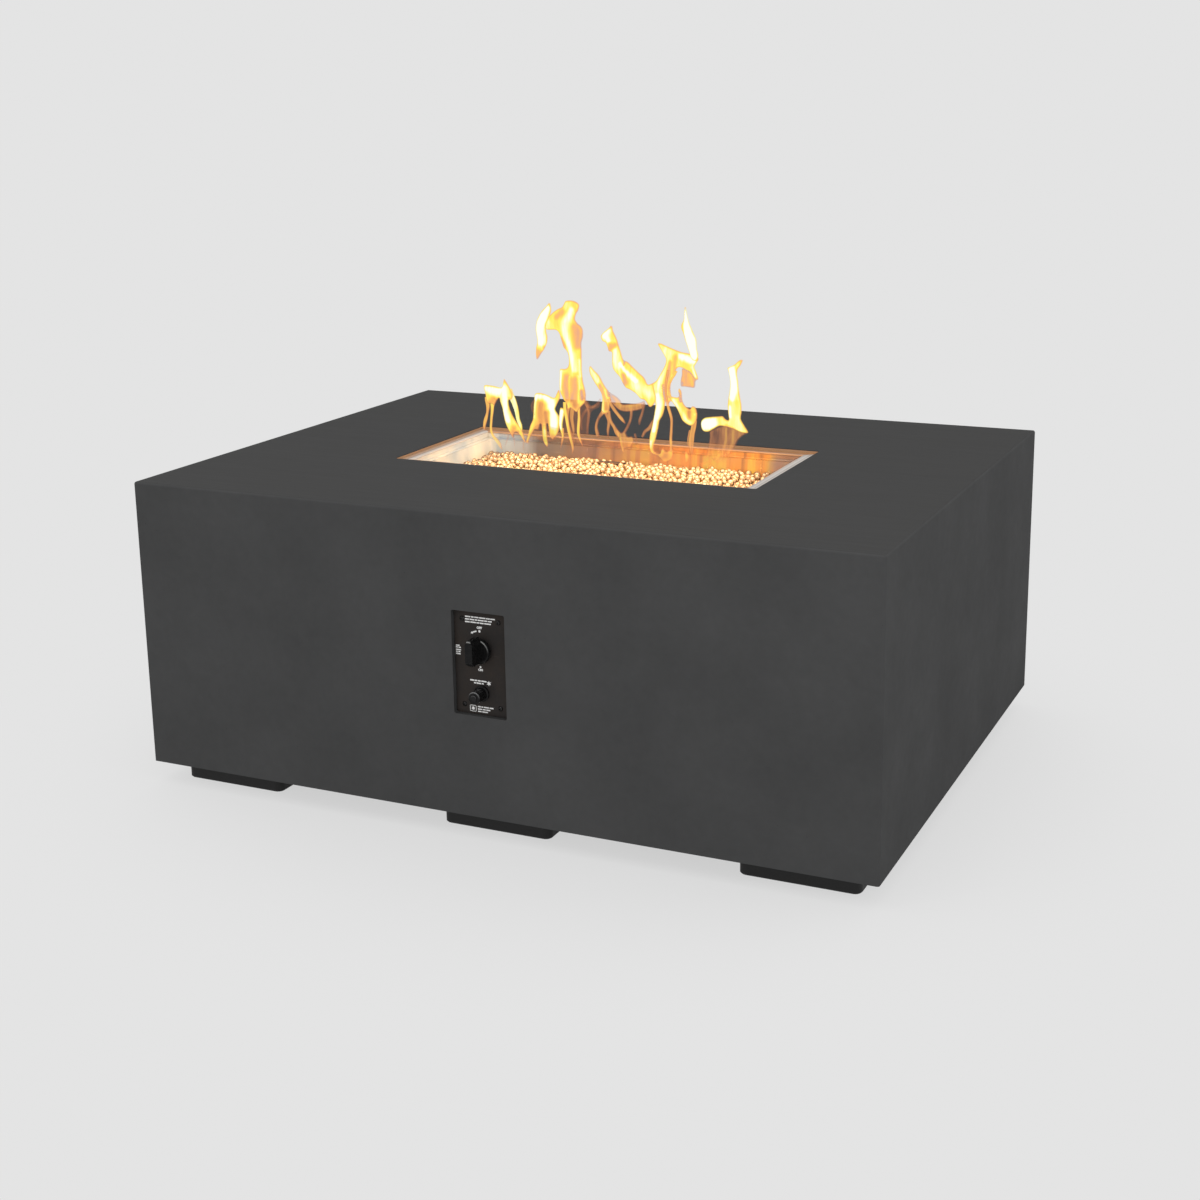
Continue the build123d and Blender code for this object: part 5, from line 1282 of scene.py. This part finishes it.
     507.4), (82.6, 502.9), (91.6, 508.7), (93.4, 498.6), (89.7, 488.2), (77, 483.8), (66.2, 493.2), (55.3,
     499.2), (51.8, 510.9), (51.9, 526.2), (54.8, 540), (58.5, 553.8), (61.4, 567.5), (62.4, 581.1), (58, 594.2),
     (52.7, 607.4), (54.5, 614.2), (65.4, 621.5), (72.7, 633.6), (79.1, 645.6), (81.8, 655.7), (78.3, 663.8), (73,
     671.8)),
     ((0.45, ((85.5, 669.1, 7.6), (78.1, 635.6, 5.1), (68.9, 608.3, 8.6))), (1, ((110.4, 663.8, 5.1), (124.5,
      659.5, 5.9), (133.3, 655.1, 5))), (0.9, ((131.5, 646.7, 3.7), (136.8, 632.1, 2.7))), (1, ((67, 594.8, 6),
      (69.6, 581.5, 6.5), (67.7, 567.9, 5.5), (63, 550.7, 4.1), (60.2, 537, 3.5))), (0.6, ((55.5, 518, 2.8),
      (54.5, 507.7, 2.4))), (-1.1, ((91.6, 652.9, 3.7), (88, 634.4, 4.4), (83.4, 617.5, 3.8), (82.3, 600.7, 3.1),
      (84.9, 587.5, 2.7))), (-1, ((101.5, 661.7, 5.1), (98.4, 646.6, 3), (95.1, 633.1, 2))), (-1.5, ((78.3, 615.5,
      1.4), (78.8, 603.9, 1.5), (80.5, 587.2, 1.5))), (-1.6, ((88.7, 609.5, 1.4), (88.6, 594.4, 1.7))), (-0.8,
      ((80.7, 496, 6.9), (69.8, 491.8, 5.2))), (0.5, ((73.4, 495.5, 3.5),)))),
    (-10, 0.8, 1, ((123.5, 751.4), (127, 738.6), (131.3, 722.6), (138.2, 708.2), (143.4, 695.5), (144.3, 680.8),
     (147.4, 667.9), (143.3, 659.5), (134.6, 664), (129.4, 675.2), (124.1, 689.7), (119.8, 702.5), (115.5, 712.1),
     (116.4, 718.7), (120.8, 727), (121.7, 740)),
     ((1, ((124.4, 741.7, 2.5), (127.8, 722.4, 5), (131.2, 703, 8.3), (136.4, 683.7, 8.3), (139.8, 669.2, 6.7))),
      (-0.5, ((118.1, 717.1, 2), (122.4, 697.8, 2))))),
    (8, 0.3, 1, ((109.4, 643.6), (118.3, 642.4), (125.4, 637.8), (132.4, 629.9), (135.9, 625.2), (133.3, 621.7),
     (131.5, 611.6), (123.5, 611.2), (114.6, 612.3), (107.5, 612.7), (106.7, 621.8), (108.5, 633.6)),
     ((0.35, ((123.6, 634.4, 3.4), (127.1, 618, 3.4))), (-0.9, ((111.1, 618.8, 2.7), (109.3, 615.3, 2))))),
    (2, 0.58, 1, ((93, 597), (101, 596.6), (107.2, 597.9), (106.4, 607.8), (109.1, 612.9), (113.5, 604.9), (115.2,
     591.7), (119.6, 583.6), (127.6, 579.1), (131.2, 583.5), (137.4, 581.4), (140, 571.5), (139.1, 559.8), (135.5,
     552.9), (129.3, 550), (122.2, 552), (113.3, 558.1), (108, 567.8), (102.7, 577.5), (96.5, 585.5), (92,
     591.9)),
     ((0.55, ((99.2, 590.7, 3.4), (109.8, 578, 4.4), (118.7, 565.2, 5.1), (129.3, 555.8, 3.4))), (0.5, ((136.4,
      569.7, 2),)), (-1, ((126.7, 574, 4.1), (127.6, 564.1, 3.4))), (-1.6, ((108.9, 604.6, 1.7), (111.7, 589.8,
      1.7))))),
    (-2, 0.72, 1, ((221.6, 664.1), (218.2, 655.8), (213.1, 649), (211.9, 640.8), (214, 629.5), (215.4, 616.5),
     (217.5, 605.1), (220.2, 592.2), (220.2, 580.7), (218.5, 569), (223.7, 559.5), (230.7, 548.4), (229, 545),
     (218.6, 545.9), (206.4, 550), (192.5, 552.4), (180.3, 553.3), (169.7, 547.6), (160.9, 542.8), (152.1, 543.9),
     (148.6, 550.3), (148.6, 559.5), (153.9, 565.6), (162.7, 567.9), (176.8, 569.6), (185.5, 570.2), (190.7,
     565.6), (196, 565.1), (194.2, 575.7), (192.4, 587.1), (194.2, 600.4), (197.6, 612.1), (199.3, 623.7), (197.6,
     635.1), (194.1, 644.7), (192.4, 649.5), (197.5, 652.2), (206.2, 656.7), (213, 662.8), (218.2, 665.5)),
     ((1, ((201, 648.3, 6.6), (205.4, 633.9, 7.4), (206.3, 617.6, 8.2), (202.8, 602.6, 5.8))), (0.8, ((198.5,
      585.9, 3.3), (199.4, 571.1, 3.3))), (1, ((155.7, 556.6, 10), (169.7, 559.2, 8.3))), (-0.35, ((212.4, 595,
      4.9), (213.3, 578.6, 4.9))), (-0.6, ((192.5, 554.1, 3.3), (206.4, 550, 3.3))))),
    (6, 0.28, 0.62, ((157.8, 541.1), (164.8, 545.8), (177.1, 551.6), (189.4, 555.8), (205.1, 553.5), (220.8,
     546.3), (227.7, 543.4), (219.1, 538.7), (210.4, 530.6), (205.2, 520.2), (200, 509.8), (189.5, 499), (177.2,
     489.7), (168.3, 490.7), (163, 495.4), (155.9, 496.5), (148.8, 492.6), (152.4, 506.4), (156, 520.1), (157.8,
     531.9)),
     ((0.5, ((190.3, 549.2, 2), (189.4, 529.1, 2), (184.2, 512, 2.2), (171.9, 496, 2))), (0.45, ((203.4, 546.7,
      2.7), (199.9, 526.5, 2.7), (194.7, 509.5, 2.2))), (-0.4, ((170.1, 537.8, 8.4), (170.1, 517.7, 6.7))))),
    (24, 0.16, 0.42, ((-112.1, 567.3), (-74, 576.5), (-62.9, 568.6), (-47.8, 574.7), (-47.9, 566.1), (-63.1,
     556.5), (-67.3, 535.5), (-71.4, 517.9), (-86.7, 509.8), (-113.5, 504.5), (-122.9, 510.8), (-118.4, 539)),
     ()),
    (-16, 0.2, 0.35, ((-142.4, 537.6), (-104.6, 533.2), (-104.9, 519.4), (-124.1, 507.7), (-150.8, 509.3),
     (-168.3, 501.1), (-173.9, 507.7), (-161.8, 525.9)),
     ()),
)
STRANDS = (
    (6, 0.42, 0.9, ((-253.5, 573.8, 5.6), (-253.4, 559.8, 4.1), (-255.4, 547.3, 2.8), (-259.6, 532.9, 3.6),
     (-261.4, 520.4, 2.6), (-259.5, 513.5, 0.8))),
    (4, 0.62, 0.95, ((-240.7, 571.4, 5.6), (-245.2, 555.4, 3.4), (-247.1, 537.6, 2.6), (-245.4, 520.1, 2.6),
     (-240.9, 506.3, 2.8), (-233.4, 494.4, 3.8), (-229.7, 487.6, 2.6), (-225.9, 482.6, 0.7))),
    (5, 0.8, 1, ((-208.5, 590.6, 5.5), (-202.2, 573.6, 5.5), (-197.9, 556.4, 4.4), (-193.9, 540.9, 3.7), (-188,
     529.1, 3.3), (-185.5, 519.6, 0.7))),
    (8, 0.3, 0.55, ((-216.4, 509, 1.9), (-220.8, 496.3, 1.7), (-225, 485.4, 0.6))),
    (8, 0.32, 0.55, ((-207.6, 511.4, 2.6), (-204, 499.3, 1.9), (-202.8, 487, 0.6))),
    (8, 0.34, 0.6, ((-188.3, 505.7, 2.4), (-187.7, 491.6, 1.7), (-187.9, 482.8, 0.6))),
    (9, 0.36, 0.6, ((-181.1, 504.2, 3), (-177.5, 493.9, 0.7))),
    (-20, 0.2, 0.5, ((-148.8, 579.2, 1.8), (-154.8, 570.3, 2.4), (-154, 561.7, 2.4), (-149.5, 553.4, 1.1))),
    (-6, 0.55, 0.95, ((-97.2, 576.6, 3.6), (-98.3, 562.8, 3.2), (-96.9, 545.7, 3.2), (-93.2, 528.7, 2.9), (-88.6,
     511.8, 2.9), (-86.3, 498.1, 2.3), (-87.8, 487.6, 0.7))),
    (10, 0.3, 0.8, ((-97.6, 572.2, 3.6), (-100.7, 556.5, 3.2), (-101.4, 542.6, 3.1), (-98, 525.5, 2.7), (-93.2,
     510.2, 2.2), (-91.5, 499.9, 0.7))),
    (12, 0.32, 0.7, ((-91.1, 567.1, 4.7), (-93.3, 549.7, 4), (-91.9, 529, 3.2), (-94.1, 511.5, 1.8))),
    (8, 0.5, 0.9, ((-109.7, 528.6, 2.4), (-110.2, 511.1, 2.4), (-113.9, 491.7, 0.7))),
    (3, 0.6, 0.95, ((-75.3, 576.5, 3.2), (-78.3, 555.7, 2.7), (-79.8, 538.4, 3), (-80.1, 521.1, 2.7), (-76.6,
     509.2, 2.2), (-71.2, 499.2, 0.7))),
    (20, 0.24, 0.6, ((-77.6, 583.8, 2.7), (-70.3, 574, 3.9), (-66.8, 560.4, 3.2), (-69.1, 539.5, 2.9), (-69.5,
     517, 2.2))),
    (22, 0.24, 0.55, ((-71.4, 568.4, 3.6), (-62, 565.5, 2.9), (-52.6, 570.4, 2.7), (-44.9, 580.3, 2.1))),
    (22, 0.24, 0.55, ((-69.6, 561.6, 3.2), (-77.3, 552.5, 2.7), (-83.3, 538.2, 2.3), (-81.6, 524.5, 1.8))),
    (12, 0.34, 0.8, ((-22.5, 585, 3.5), (-18.1, 571.7, 3.5), (-10.9, 558.5, 3.3), (-3.7, 548.7, 3.3), (1.8, 542.2,
     1.4))),
    (16, 0.26, 0.7, ((15.1, 568, 3.1), (13, 552.5, 2.8), (7.3, 538.4, 2.8), (0.7, 527.7, 2.8))),
    (16, 0.25, 0.65, ((39.9, 579.7, 2.6), (35.2, 564.1, 2.6), (30.6, 550.2, 3), (29.4, 542.5, 1.4))),
    (10, 0.3, 0.75, ((-35.9, 560.6, 4.1), (-43.6, 549.9, 2.8), (-47.5, 535.8, 3), (-47, 522.1, 3.6), (-45.1,
     513.6, 0.9))),
    (10, 0.3, 0.75, ((-30.3, 561, 3.7), (-25, 547.6, 3.2), (-26, 530.4, 2.8), (-25.5, 515, 0.9))),
    (10, 0.32, 0.75, ((-23.8, 563.1, 2.8), (-21.3, 547.9, 3), (-14, 536.4, 3.5), (-8.6, 526.5, 4.2), (-5, 518.1,
     1.8))),
    (10, 0.3, 0.65, ((20.9, 526.8, 2.3), (24.4, 515.1, 2.3), (27, 499.8, 0.7))),
    (12, 0.3, 0.65, ((56.8, 552.7, 2.6), (51.3, 540.4, 3.5), (42.1, 533, 3.1), (34.6, 522.2, 2.4))),
    (8, 0.55, 0.95, ((100.5, 638.1, 2.2), (94.2, 626.1, 2.2), (89.6, 612.5, 1.9), (89.9, 597.5, 2.4), (93.1,
     587.7, 2.7))),
    (-8, 0.42, 0.9, ((92.1, 641.7, 2.4), (89.3, 625, 2.5), (88, 610, 2.2), (90.2, 595.1, 2.5), (93.8, 578.7, 2.9),
     (97.8, 558.9, 2.7), (98.4, 538.8, 2.6), (96.2, 521.8, 2.9), (94.8, 504.8, 2.1))),
    (5, 0.36, 0.85, ((131.6, 557.1, 4.4), (129.5, 541.9, 4.7), (126.7, 524.9, 4.8), (126.5, 508, 3.7), (127.8,
     491.2, 0.9))),
    (2, 0.55, 0.8, ((126.2, 542.2, 1.5), (123.8, 525.3, 1.5), (125.6, 508.5, 1.4))),
    (4, 0.6, 0.9, ((118.3, 505.9, 0.9), (119.3, 497.6, 3.4), (117.5, 487.3, 1.4))),
    (9, 0.34, 0.7, ((168.9, 496.9, 2.4), (156.5, 490.9, 2.4), (145.8, 485, 1.7), (138.7, 486.2, 0.9))),
)


def through(points, steps):
    """A smooth run through points of any dimension, with its ends."""
    rows = [points[0], *points, points[-1]]
    run = []
    for k in range(1, len(rows) - 2):
        a, b, c, d = rows[k - 1 : k + 3]
        for i in range(steps):
            t = i / steps
            run.append(tuple(
                0.5 * (2 * q + (r - p) * t + (2 * p - 5 * q + 4 * r - s) * t * t + (3 * q - p - 3 * r + s) * t**3)
                for p, q, r, s in zip(a, b, c, d)
            ))
    run.append(tuple(points[-1]))
    return run


class FIRETABLE_OT_flames(bpy.types.Operator):
    """Light the burner: sheets and strands of burning gas over the rear tube, no part of the object"""

    bl_idname = "firetable.flames"
    bl_label = "Flames"

    def execute(self, context):
        given = context.scene.fire_table.flame
        manifold_low, manifold_high = thing_box("burner_manifold")
        rear = manifold_high.y - (manifold_high.z - manifold_low.z) / 2
        work = bmesh.new()
        layers = [work.verts.layers.float.new(name) for name in FLAME_LAYERS]
        for number, (behind, heat, density, outline, streaks) in enumerate(SHEETS):
            self.sheet(work, layers, given, (rear + behind * MM, heat, density), outline, streaks, number)
        for number, (behind, heat, density, points) in enumerate(STRANDS):
            self.strand(work, layers, given, (rear + behind * MM, heat, density), points, number)
        bmesh.ops.recalc_face_normals(work, faces=work.faces)
        flames = solid("flames", mesh_of(work, "flames"), self.burning_gas(given), smooth=True)
        flames.visible_shadow = False
        return {"FINISHED"}

    def sheet(self, work, layers, given, nature, outline, streaks, number):
        """One closed sheet: its outline is filled with points, and front and back bulge from the rim."""
        y, heat, density = nature
        rim = self.rounded([Vector(p) for p in outline])
        low = Vector((min(p.x for p in rim), min(p.y for p in rim)))
        high = Vector((max(p.x for p in rim), max(p.y for p in rim)))
        points, pitch = list(rim), given.pitch / MM
        row = pitch * 0.87
        for j in range(int((high.y - low.y) / row) + 1):
            for i in range(int((high.x - low.x) / pitch) + 2):
                p = Vector((low.x + (i + 0.5 * (j % 2)) * pitch, low.y + j * row))
                if self.within(p, rim) and self.edge(p, rim) > pitch * 0.55:
                    points.append(p)
        ring = [(k, (k + 1) % len(rim)) for k in range(len(rim))]
        filled, _, faces, *_ = geometry.delaunay_2d_cdt(points, ring, [], 1, 1e-4)
        front, back = [], []
        for p in filled:
            away = self.edge(p, rim)
            bulge = given.depth * math.sqrt(max(away, 0.0)) * MM
            x, z = p.x * MM, p.y * MM
            middle = y + 0.007 * noise.noise(Vector((x * 26, z * 26, number * 3.1)))
            value = heat + given.streaks * sum(amount * self.streak(p, run) for amount, run in streaks)
            pair = []
            for side in (-1, 1):
                if side == 1 and away < 0.05:
                    pair.append(pair[0])
                    continue
                vertex = work.verts.new((x, middle + side * bulge, z))
                for layer, amount in zip(layers, (value, away, density)):
                    vertex[layer] = amount
                pair.append(vertex)
            front.append(pair[0])
            back.append(pair[1])
        for a, b, c in faces:
            if any(front[k] is not back[k] for k in (a, b, c)):
                work.faces.new((front[a], front[b], front[c]))
                work.faces.new((back[c], back[b], back[a]))

    def rounded(self, points):
        """A closed outline with its corners softened, in even short steps."""
        fine = 6
        run = through([points[-1], *points, points[0], points[1]], fine)
        smooth = [Vector(p) for p in run[fine : fine + fine * len(points)]]
        rim = [smooth[0]]
        for p in smooth[1:]:
            if (p - rim[-1]).length > 1.0 and (p - rim[0]).length > 0.6:
                rim.append(p)
        return rim

    def within(self, p, rim):
        """True when a point lies inside a closed outline."""
        inside = False
        for a, b in zip(rim, rim[1:] + rim[:1]):
            if (a.y > p.y) != (b.y > p.y) and p.x < a.x + (p.y - a.y) * (b.x - a.x) / (b.y - a.y):
                inside = not inside
        return inside

    def edge(self, p, rim):
        """Distance from a point to a closed outline."""
        return min(self.near(p, a, b)[0] for a, b in zip(rim, rim[1:] + rim[:1]))

    def near(self, p, a, b):
        """Distance from a point to a stretch of line, and how far along the stretch it is nearest."""
        along = b - a
        t = min(max((p - a).dot(along) / max(along.length_squared, 1e-9), 0.0), 1.0)
        return (p - a - along * t).length, t

    def streak(self, p, run):
        """How much a streak tells at a point: 1 along its middle, fading to 0 past its width."""
        best = 0.0
        for first, last in zip(run, run[1:] or run):
            away, t = self.near(p, Vector(first[:2]), Vector(last[:2]))
            wide = 1.45 * (first[2] + (last[2] - first[2]) * t)
            best = max(best, max(0.0, 1.0 - (away / wide) ** 2) ** 1.5)
        return best

    def strand(self, work, layers, given, nature, points, number):
        """One closed strand: an oval tube of changing width along a smooth run, a little torn by turbulence."""
        sides = 10
        y, heat, density = nature
        run = through([(x * MM, z * MM, max(w, 0.3) * MM) for x, z, w in points], 6)
        rings = []
        for k, (x, z, wide) in enumerate(run):
            before, after = run[max(k - 1, 0)], run[min(k + 1, len(run) - 1)]
            along = Vector((after[0] - before[0], 0, after[1] - before[1])).normalized()
            across = Vector((along.z, 0, -along.x))
            wide = max(wide, 0.0003)
            middle = Vector((x, y + 0.008 * noise.noise(Vector((x * 30, z * 30, number * 3.1))), z))
            ring = []
            for i in range(sides):
                a = 2 * math.pi * i / sides
                torn = 1 + 0.12 * noise.noise(Vector((x * 90 + i, z * 90, number)))
                offset = across * math.cos(a) * wide * torn + Vector((0, math.sin(a) * wide * 0.6, 0))
                vertex = work.verts.new(middle + offset)
                for layer, amount in zip(layers, (heat, abs(math.sin(a)) * wide / MM, density)):
                    vertex[layer] = amount
                ring.append(vertex)
            rings.append(ring)
        for low, high in zip(rings, rings[1:]):
            for i in range(sides):
                j = (i + 1) % sides
                work.faces.new((low[i], low[j], high[j], high[i]))
        work.faces.new(rings[0])
        work.faces.new(list(reversed(rings[-1])))

    def burning_gas(self, given):
        """Light with no surface: nearly white where it is hot, orange at its edge, thin near the glass."""
        material, tree, surface = bare_material("burning_gas")
        heat, edge, density = (attribute(tree, name) for name in FLAME_LAYERS)
        place = spot(tree)
        root = thing_box("fire_glass")[1].z
        rise = fade(tree, xyz(tree, place)["Z"], root - 0.004, root + 0.05)
        core = plus(tree, heat, fade(tree, edge, 0.0, 3.4, -0.42, 0.03, "SMOOTHSTEP"))
        for stretch, twist, amount in (((65.0, 20.0, 15.0), 0.8, 0.42), ((230.0, 60.0, 42.0), 0.3, 0.26)):
            curl = soft_noise(tree, vectors(tree, "MULTIPLY", place, stretch), 1.0, 2.0, distortion=twist)
            core = plus(tree, core, swing(tree, curl, amount))
        thin = times(tree, minus(tree, 1.0, density), 0.30)
        cool = plus(tree, times(tree, minus(tree, 1.0, rise), 0.22), thin)
        core = minus(tree, core, cool, clamp=True)
        shade = ramp(
            tree, core, (0.0, (0.50, 0.18, 0.08)), (0.18, (0.80, 0.32, 0.12)), (0.34, (1.0, 0.47, 0.13)),
            (0.50, (1.0, 0.66, 0.13)), (0.66, (1.0, 0.87, 0.15)), (0.82, (1.0, 0.96, 0.42)),
            (0.96, (1.0, 1.0, 0.90)),
        )
        body = ramp(tree, core, (0.0, 0.50), (0.2, 0.80), (0.4, 0.97), (0.6, 1.0))
        soft = fade(tree, edge, 0.0, 1.3)
        thick = times(tree, plus(tree, times(tree, rise, 0.75), 0.25), density)
        front = minus(tree, 1.0, put(tree, "ShaderNodeNewGeometry").outputs["Backfacing"])
        ray = put(tree, "ShaderNodeLightPath").outputs
        sent = maths(tree, "MAXIMUM", ray["Is Glossy Ray"], ray["Is Transmission Ray"])
        seen = maths(tree, "MAXIMUM", ray["Is Camera Ray"], sent)
        alpha = times(tree, body, soft, thick, clamp=True)
        power = plus(tree, given.glow, times(tree, sent, given.mirrored))
        light = put(tree, "ShaderNodeEmission", {"Color": shade, "Strength": power}).outputs[0]
        clear = put(tree, "ShaderNodeBsdfTransparent").outputs[0]
        mixed = put(tree, "ShaderNodeMixShader", {0: times(tree, alpha, front, seen), 1: clear, 2: light})
        tree.links.new(mixed.outputs[0], surface)
        return material


class FIRETABLE_OT_stage(bpy.types.Operator):
    """Set the stage: a pale floor that keeps the table's shadow, even studio light, and the camera"""

    bl_idname = "firetable.stage"
    bl_label = "Stage"

    def execute(self, context):
        given = context.scene.fire_table.stage
        self.camera(given)
        self.lamps(given)
        self.floor(given)
        scene = context.scene
        scene.view_settings.view_transform = "Standard"
        scene.world = bpy.data.worlds.new("studio")
        scene.world.use_nodes = True
        tree = scene.world.node_tree
        tree.nodes.clear()
        seen = self.seen(tree)
        light = put(tree, "ShaderNodeBackground", {"Color": (1, 1, 1, 1), "Strength": given.sky}).outputs[0]
        plain = put(tree, "ShaderNodeBackground", {"Color": (*given.backdrop, 1), "Strength": 1.0}).outputs[0]
        mixed = put(tree, "ShaderNodeMixShader", {0: seen, 1: light, 2: plain}).outputs[0]
        put(tree, "ShaderNodeOutputWorld", {"Surface": mixed})
        return {"FINISHED"}

    def seen(self, tree):
        """1 for rays that show the backdrop: the camera's, and those that metal and glass send on."""
        ray = put(tree, "ShaderNodeLightPath").outputs
        sent = maths(tree, "MAXIMUM", ray["Is Glossy Ray"], ray["Is Transmission Ray"])
        return maths(tree, "MAXIMUM", ray["Is Camera Ray"], sent)

    def camera(self, given):
        """The camera at the front right, turned towards the table and rolled by under a degree."""
        place, shift = (1.24252, -2.65553, 1.11123), (-0.00959, -0.06957)
        azimuth, elevation, roll = (math.radians(angle) for angle in (24.8475, 13.6426, -0.8086))
        level = math.cos(elevation)
        ahead = Vector((-math.sin(azimuth) * level, math.cos(azimuth) * level, -math.sin(elevation)))
        right = Vector((math.cos(azimuth), math.sin(azimuth), 0))
        up = right.cross(ahead)
        right, up = right * math.cos(roll) + up * math.sin(roll), up * math.cos(roll) - right * math.sin(roll)
        turn = Matrix((right, up, -ahead)).transposed().to_4x4()
        data = bpy.data.cameras.new("camera")
        data.lens, data.sensor_width = given.lens, 36.0
        data.shift_x, data.shift_y = shift
        data.clip_end = 100.0
        eye = bpy.data.objects.new("camera", data)
        eye.matrix_world = Matrix.Translation(place) @ turn
        bpy.context.scene.collection.objects.link(eye)
        bpy.context.scene.camera = eye

    def lamps(self, given):
        """A wide softbox overhead, a weak strip, two small lamps for highlights, and the flames' light."""
        for name, place, aim, size, power, tint in (
            ("softbox", (-0.3, -0.4, 2.9), (0, 0, 0.4), 2.6, given.lamp, (1, 1, 1)),
            ("strip", (1.1, -2.4, 1.0), (0, -0.4, 0.3), 0.5, given.lamp * 0.12, (1, 1, 1)),
            ("glint_right", (1.9, -1.3, 1.2), (0, -0.4, 0.3), 0.09, given.glint * 0.6, (1, 1, 1)),
            ("glint_top", (-0.5, -1.7, 2.2), (0, -0.3, 0.35), 0.12, given.glint, (1, 1, 1)),
            ("firelight", (0, 0.03, 0.555), (0, 0.03, 0), 0.52, given.fire, (1.0, 0.72, 0.38)),
        ):
            data = bpy.data.lights.new(name, "AREA")
            data.energy, data.size, data.color = power, size, tint
            if name == "firelight":
                data.shape, data.size_y, data.spread = "RECTANGLE", 0.16, math.radians(95)
            lamp = bpy.data.objects.new(name, data)
            lamp.location = place
            lamp.rotation_euler = (Vector(aim) - Vector(place)).to_track_quat("-Z", "Y").to_euler()
            bpy.context.scene.collection.objects.link(lamp)

    def floor(self, given):
        """A wide pale floor. Near the table it is partly lit, so that it keeps a soft shadow."""
        work = bmesh.new()
        bmesh.ops.create_circle(work, cap_ends=True, radius=40.0, segments=96)
        material, tree, surface = bare_material("studio_floor")
        share = fade(tree, vectors(tree, "LENGTH", spot(tree)), 0.55, 1.15, 0.24, 0.0, "SMOOTHSTEP")
        lit = put(tree, "ShaderNodeBsdfDiffuse", {"Color": (0.86, 0.86, 0.86, 1)}).outputs[0]
        even = put(tree, "ShaderNodeEmission", {"Color": (*given.backdrop, 1), "Strength": 1.0}).outputs[0]
        shown = put(tree, "ShaderNodeMixShader", {0: share, 1: even, 2: lit}).outputs[0]
        matt = put(tree, "ShaderNodeBsdfDiffuse", {"Color": (0.62, 0.62, 0.62, 1)}).outputs[0]
        whole = put(tree, "ShaderNodeMixShader", {0: self.seen(tree), 1: matt, 2: shown}).outputs[0]
        tree.links.new(whole, surface)
        floor = solid("floor", mesh_of(work, "floor"), material)


# ------------------------------------------------------------------ sidebar and registration

OPERATORS = (
    FIRETABLE_OT_stage, FIRETABLE_OT_casting, FIRETABLE_OT_frame, FIRETABLE_OT_pan, FIRETABLE_OT_burner,
    FIRETABLE_OT_glass, FIRETABLE_OT_panel, FIRETABLE_OT_valve, FIRETABLE_OT_knob, FIRETABLE_OT_igniter,
    FIRETABLE_OT_flames,
)


class FIRETABLE_PT_sidebar(bpy.types.Panel):
    """The fire table's settings and its pieces"""

    bl_idname = "FIRETABLE_PT_sidebar"
    bl_label = "Fire Table"
    bl_space_type = "VIEW_3D"
    bl_region_type = "UI"
    bl_category = "Fire Table"

    def draw(self, context):
        table = context.scene.fire_table
        for title in ("concrete", "glass", "panel", "flame", "stage"):
            box = self.layout.box()
            box.label(text=title.capitalize())
            group = getattr(table, title)
            for key in group.bl_rna.properties.keys():
                if key not in ("rna_type", "name"):
                    box.prop(group, key)
        for kind in OPERATORS:
            self.layout.operator(kind.bl_idname)


CLASSES = (
    ConcreteSettings, GlassSettings, PanelSettings, FlameSettings, StageSettings, FireTableSettings,
    *OPERATORS, FIRETABLE_PT_sidebar,
)


def register():
    """Adds the classes and the scene's settings."""
    for kind in CLASSES:
        bpy.utils.register_class(kind)
    bpy.types.Scene.fire_table = bpy.props.PointerProperty(type=FireTableSettings)


def unregister():
    """Takes them away again."""
    del bpy.types.Scene.fire_table
    for kind in reversed(CLASSES):
        bpy.utils.unregister_class(kind)


def main():
    """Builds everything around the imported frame."""
    register()
    for kind in OPERATORS:
        family, call = kind.bl_idname.split(".")
        getattr(getattr(bpy.ops, family), call)()


def plain(box):
    """A box's two corners as plain lists."""
    return [[float(c) for c in corner] for corner in box]


if __name__ == "__main__":
    main()
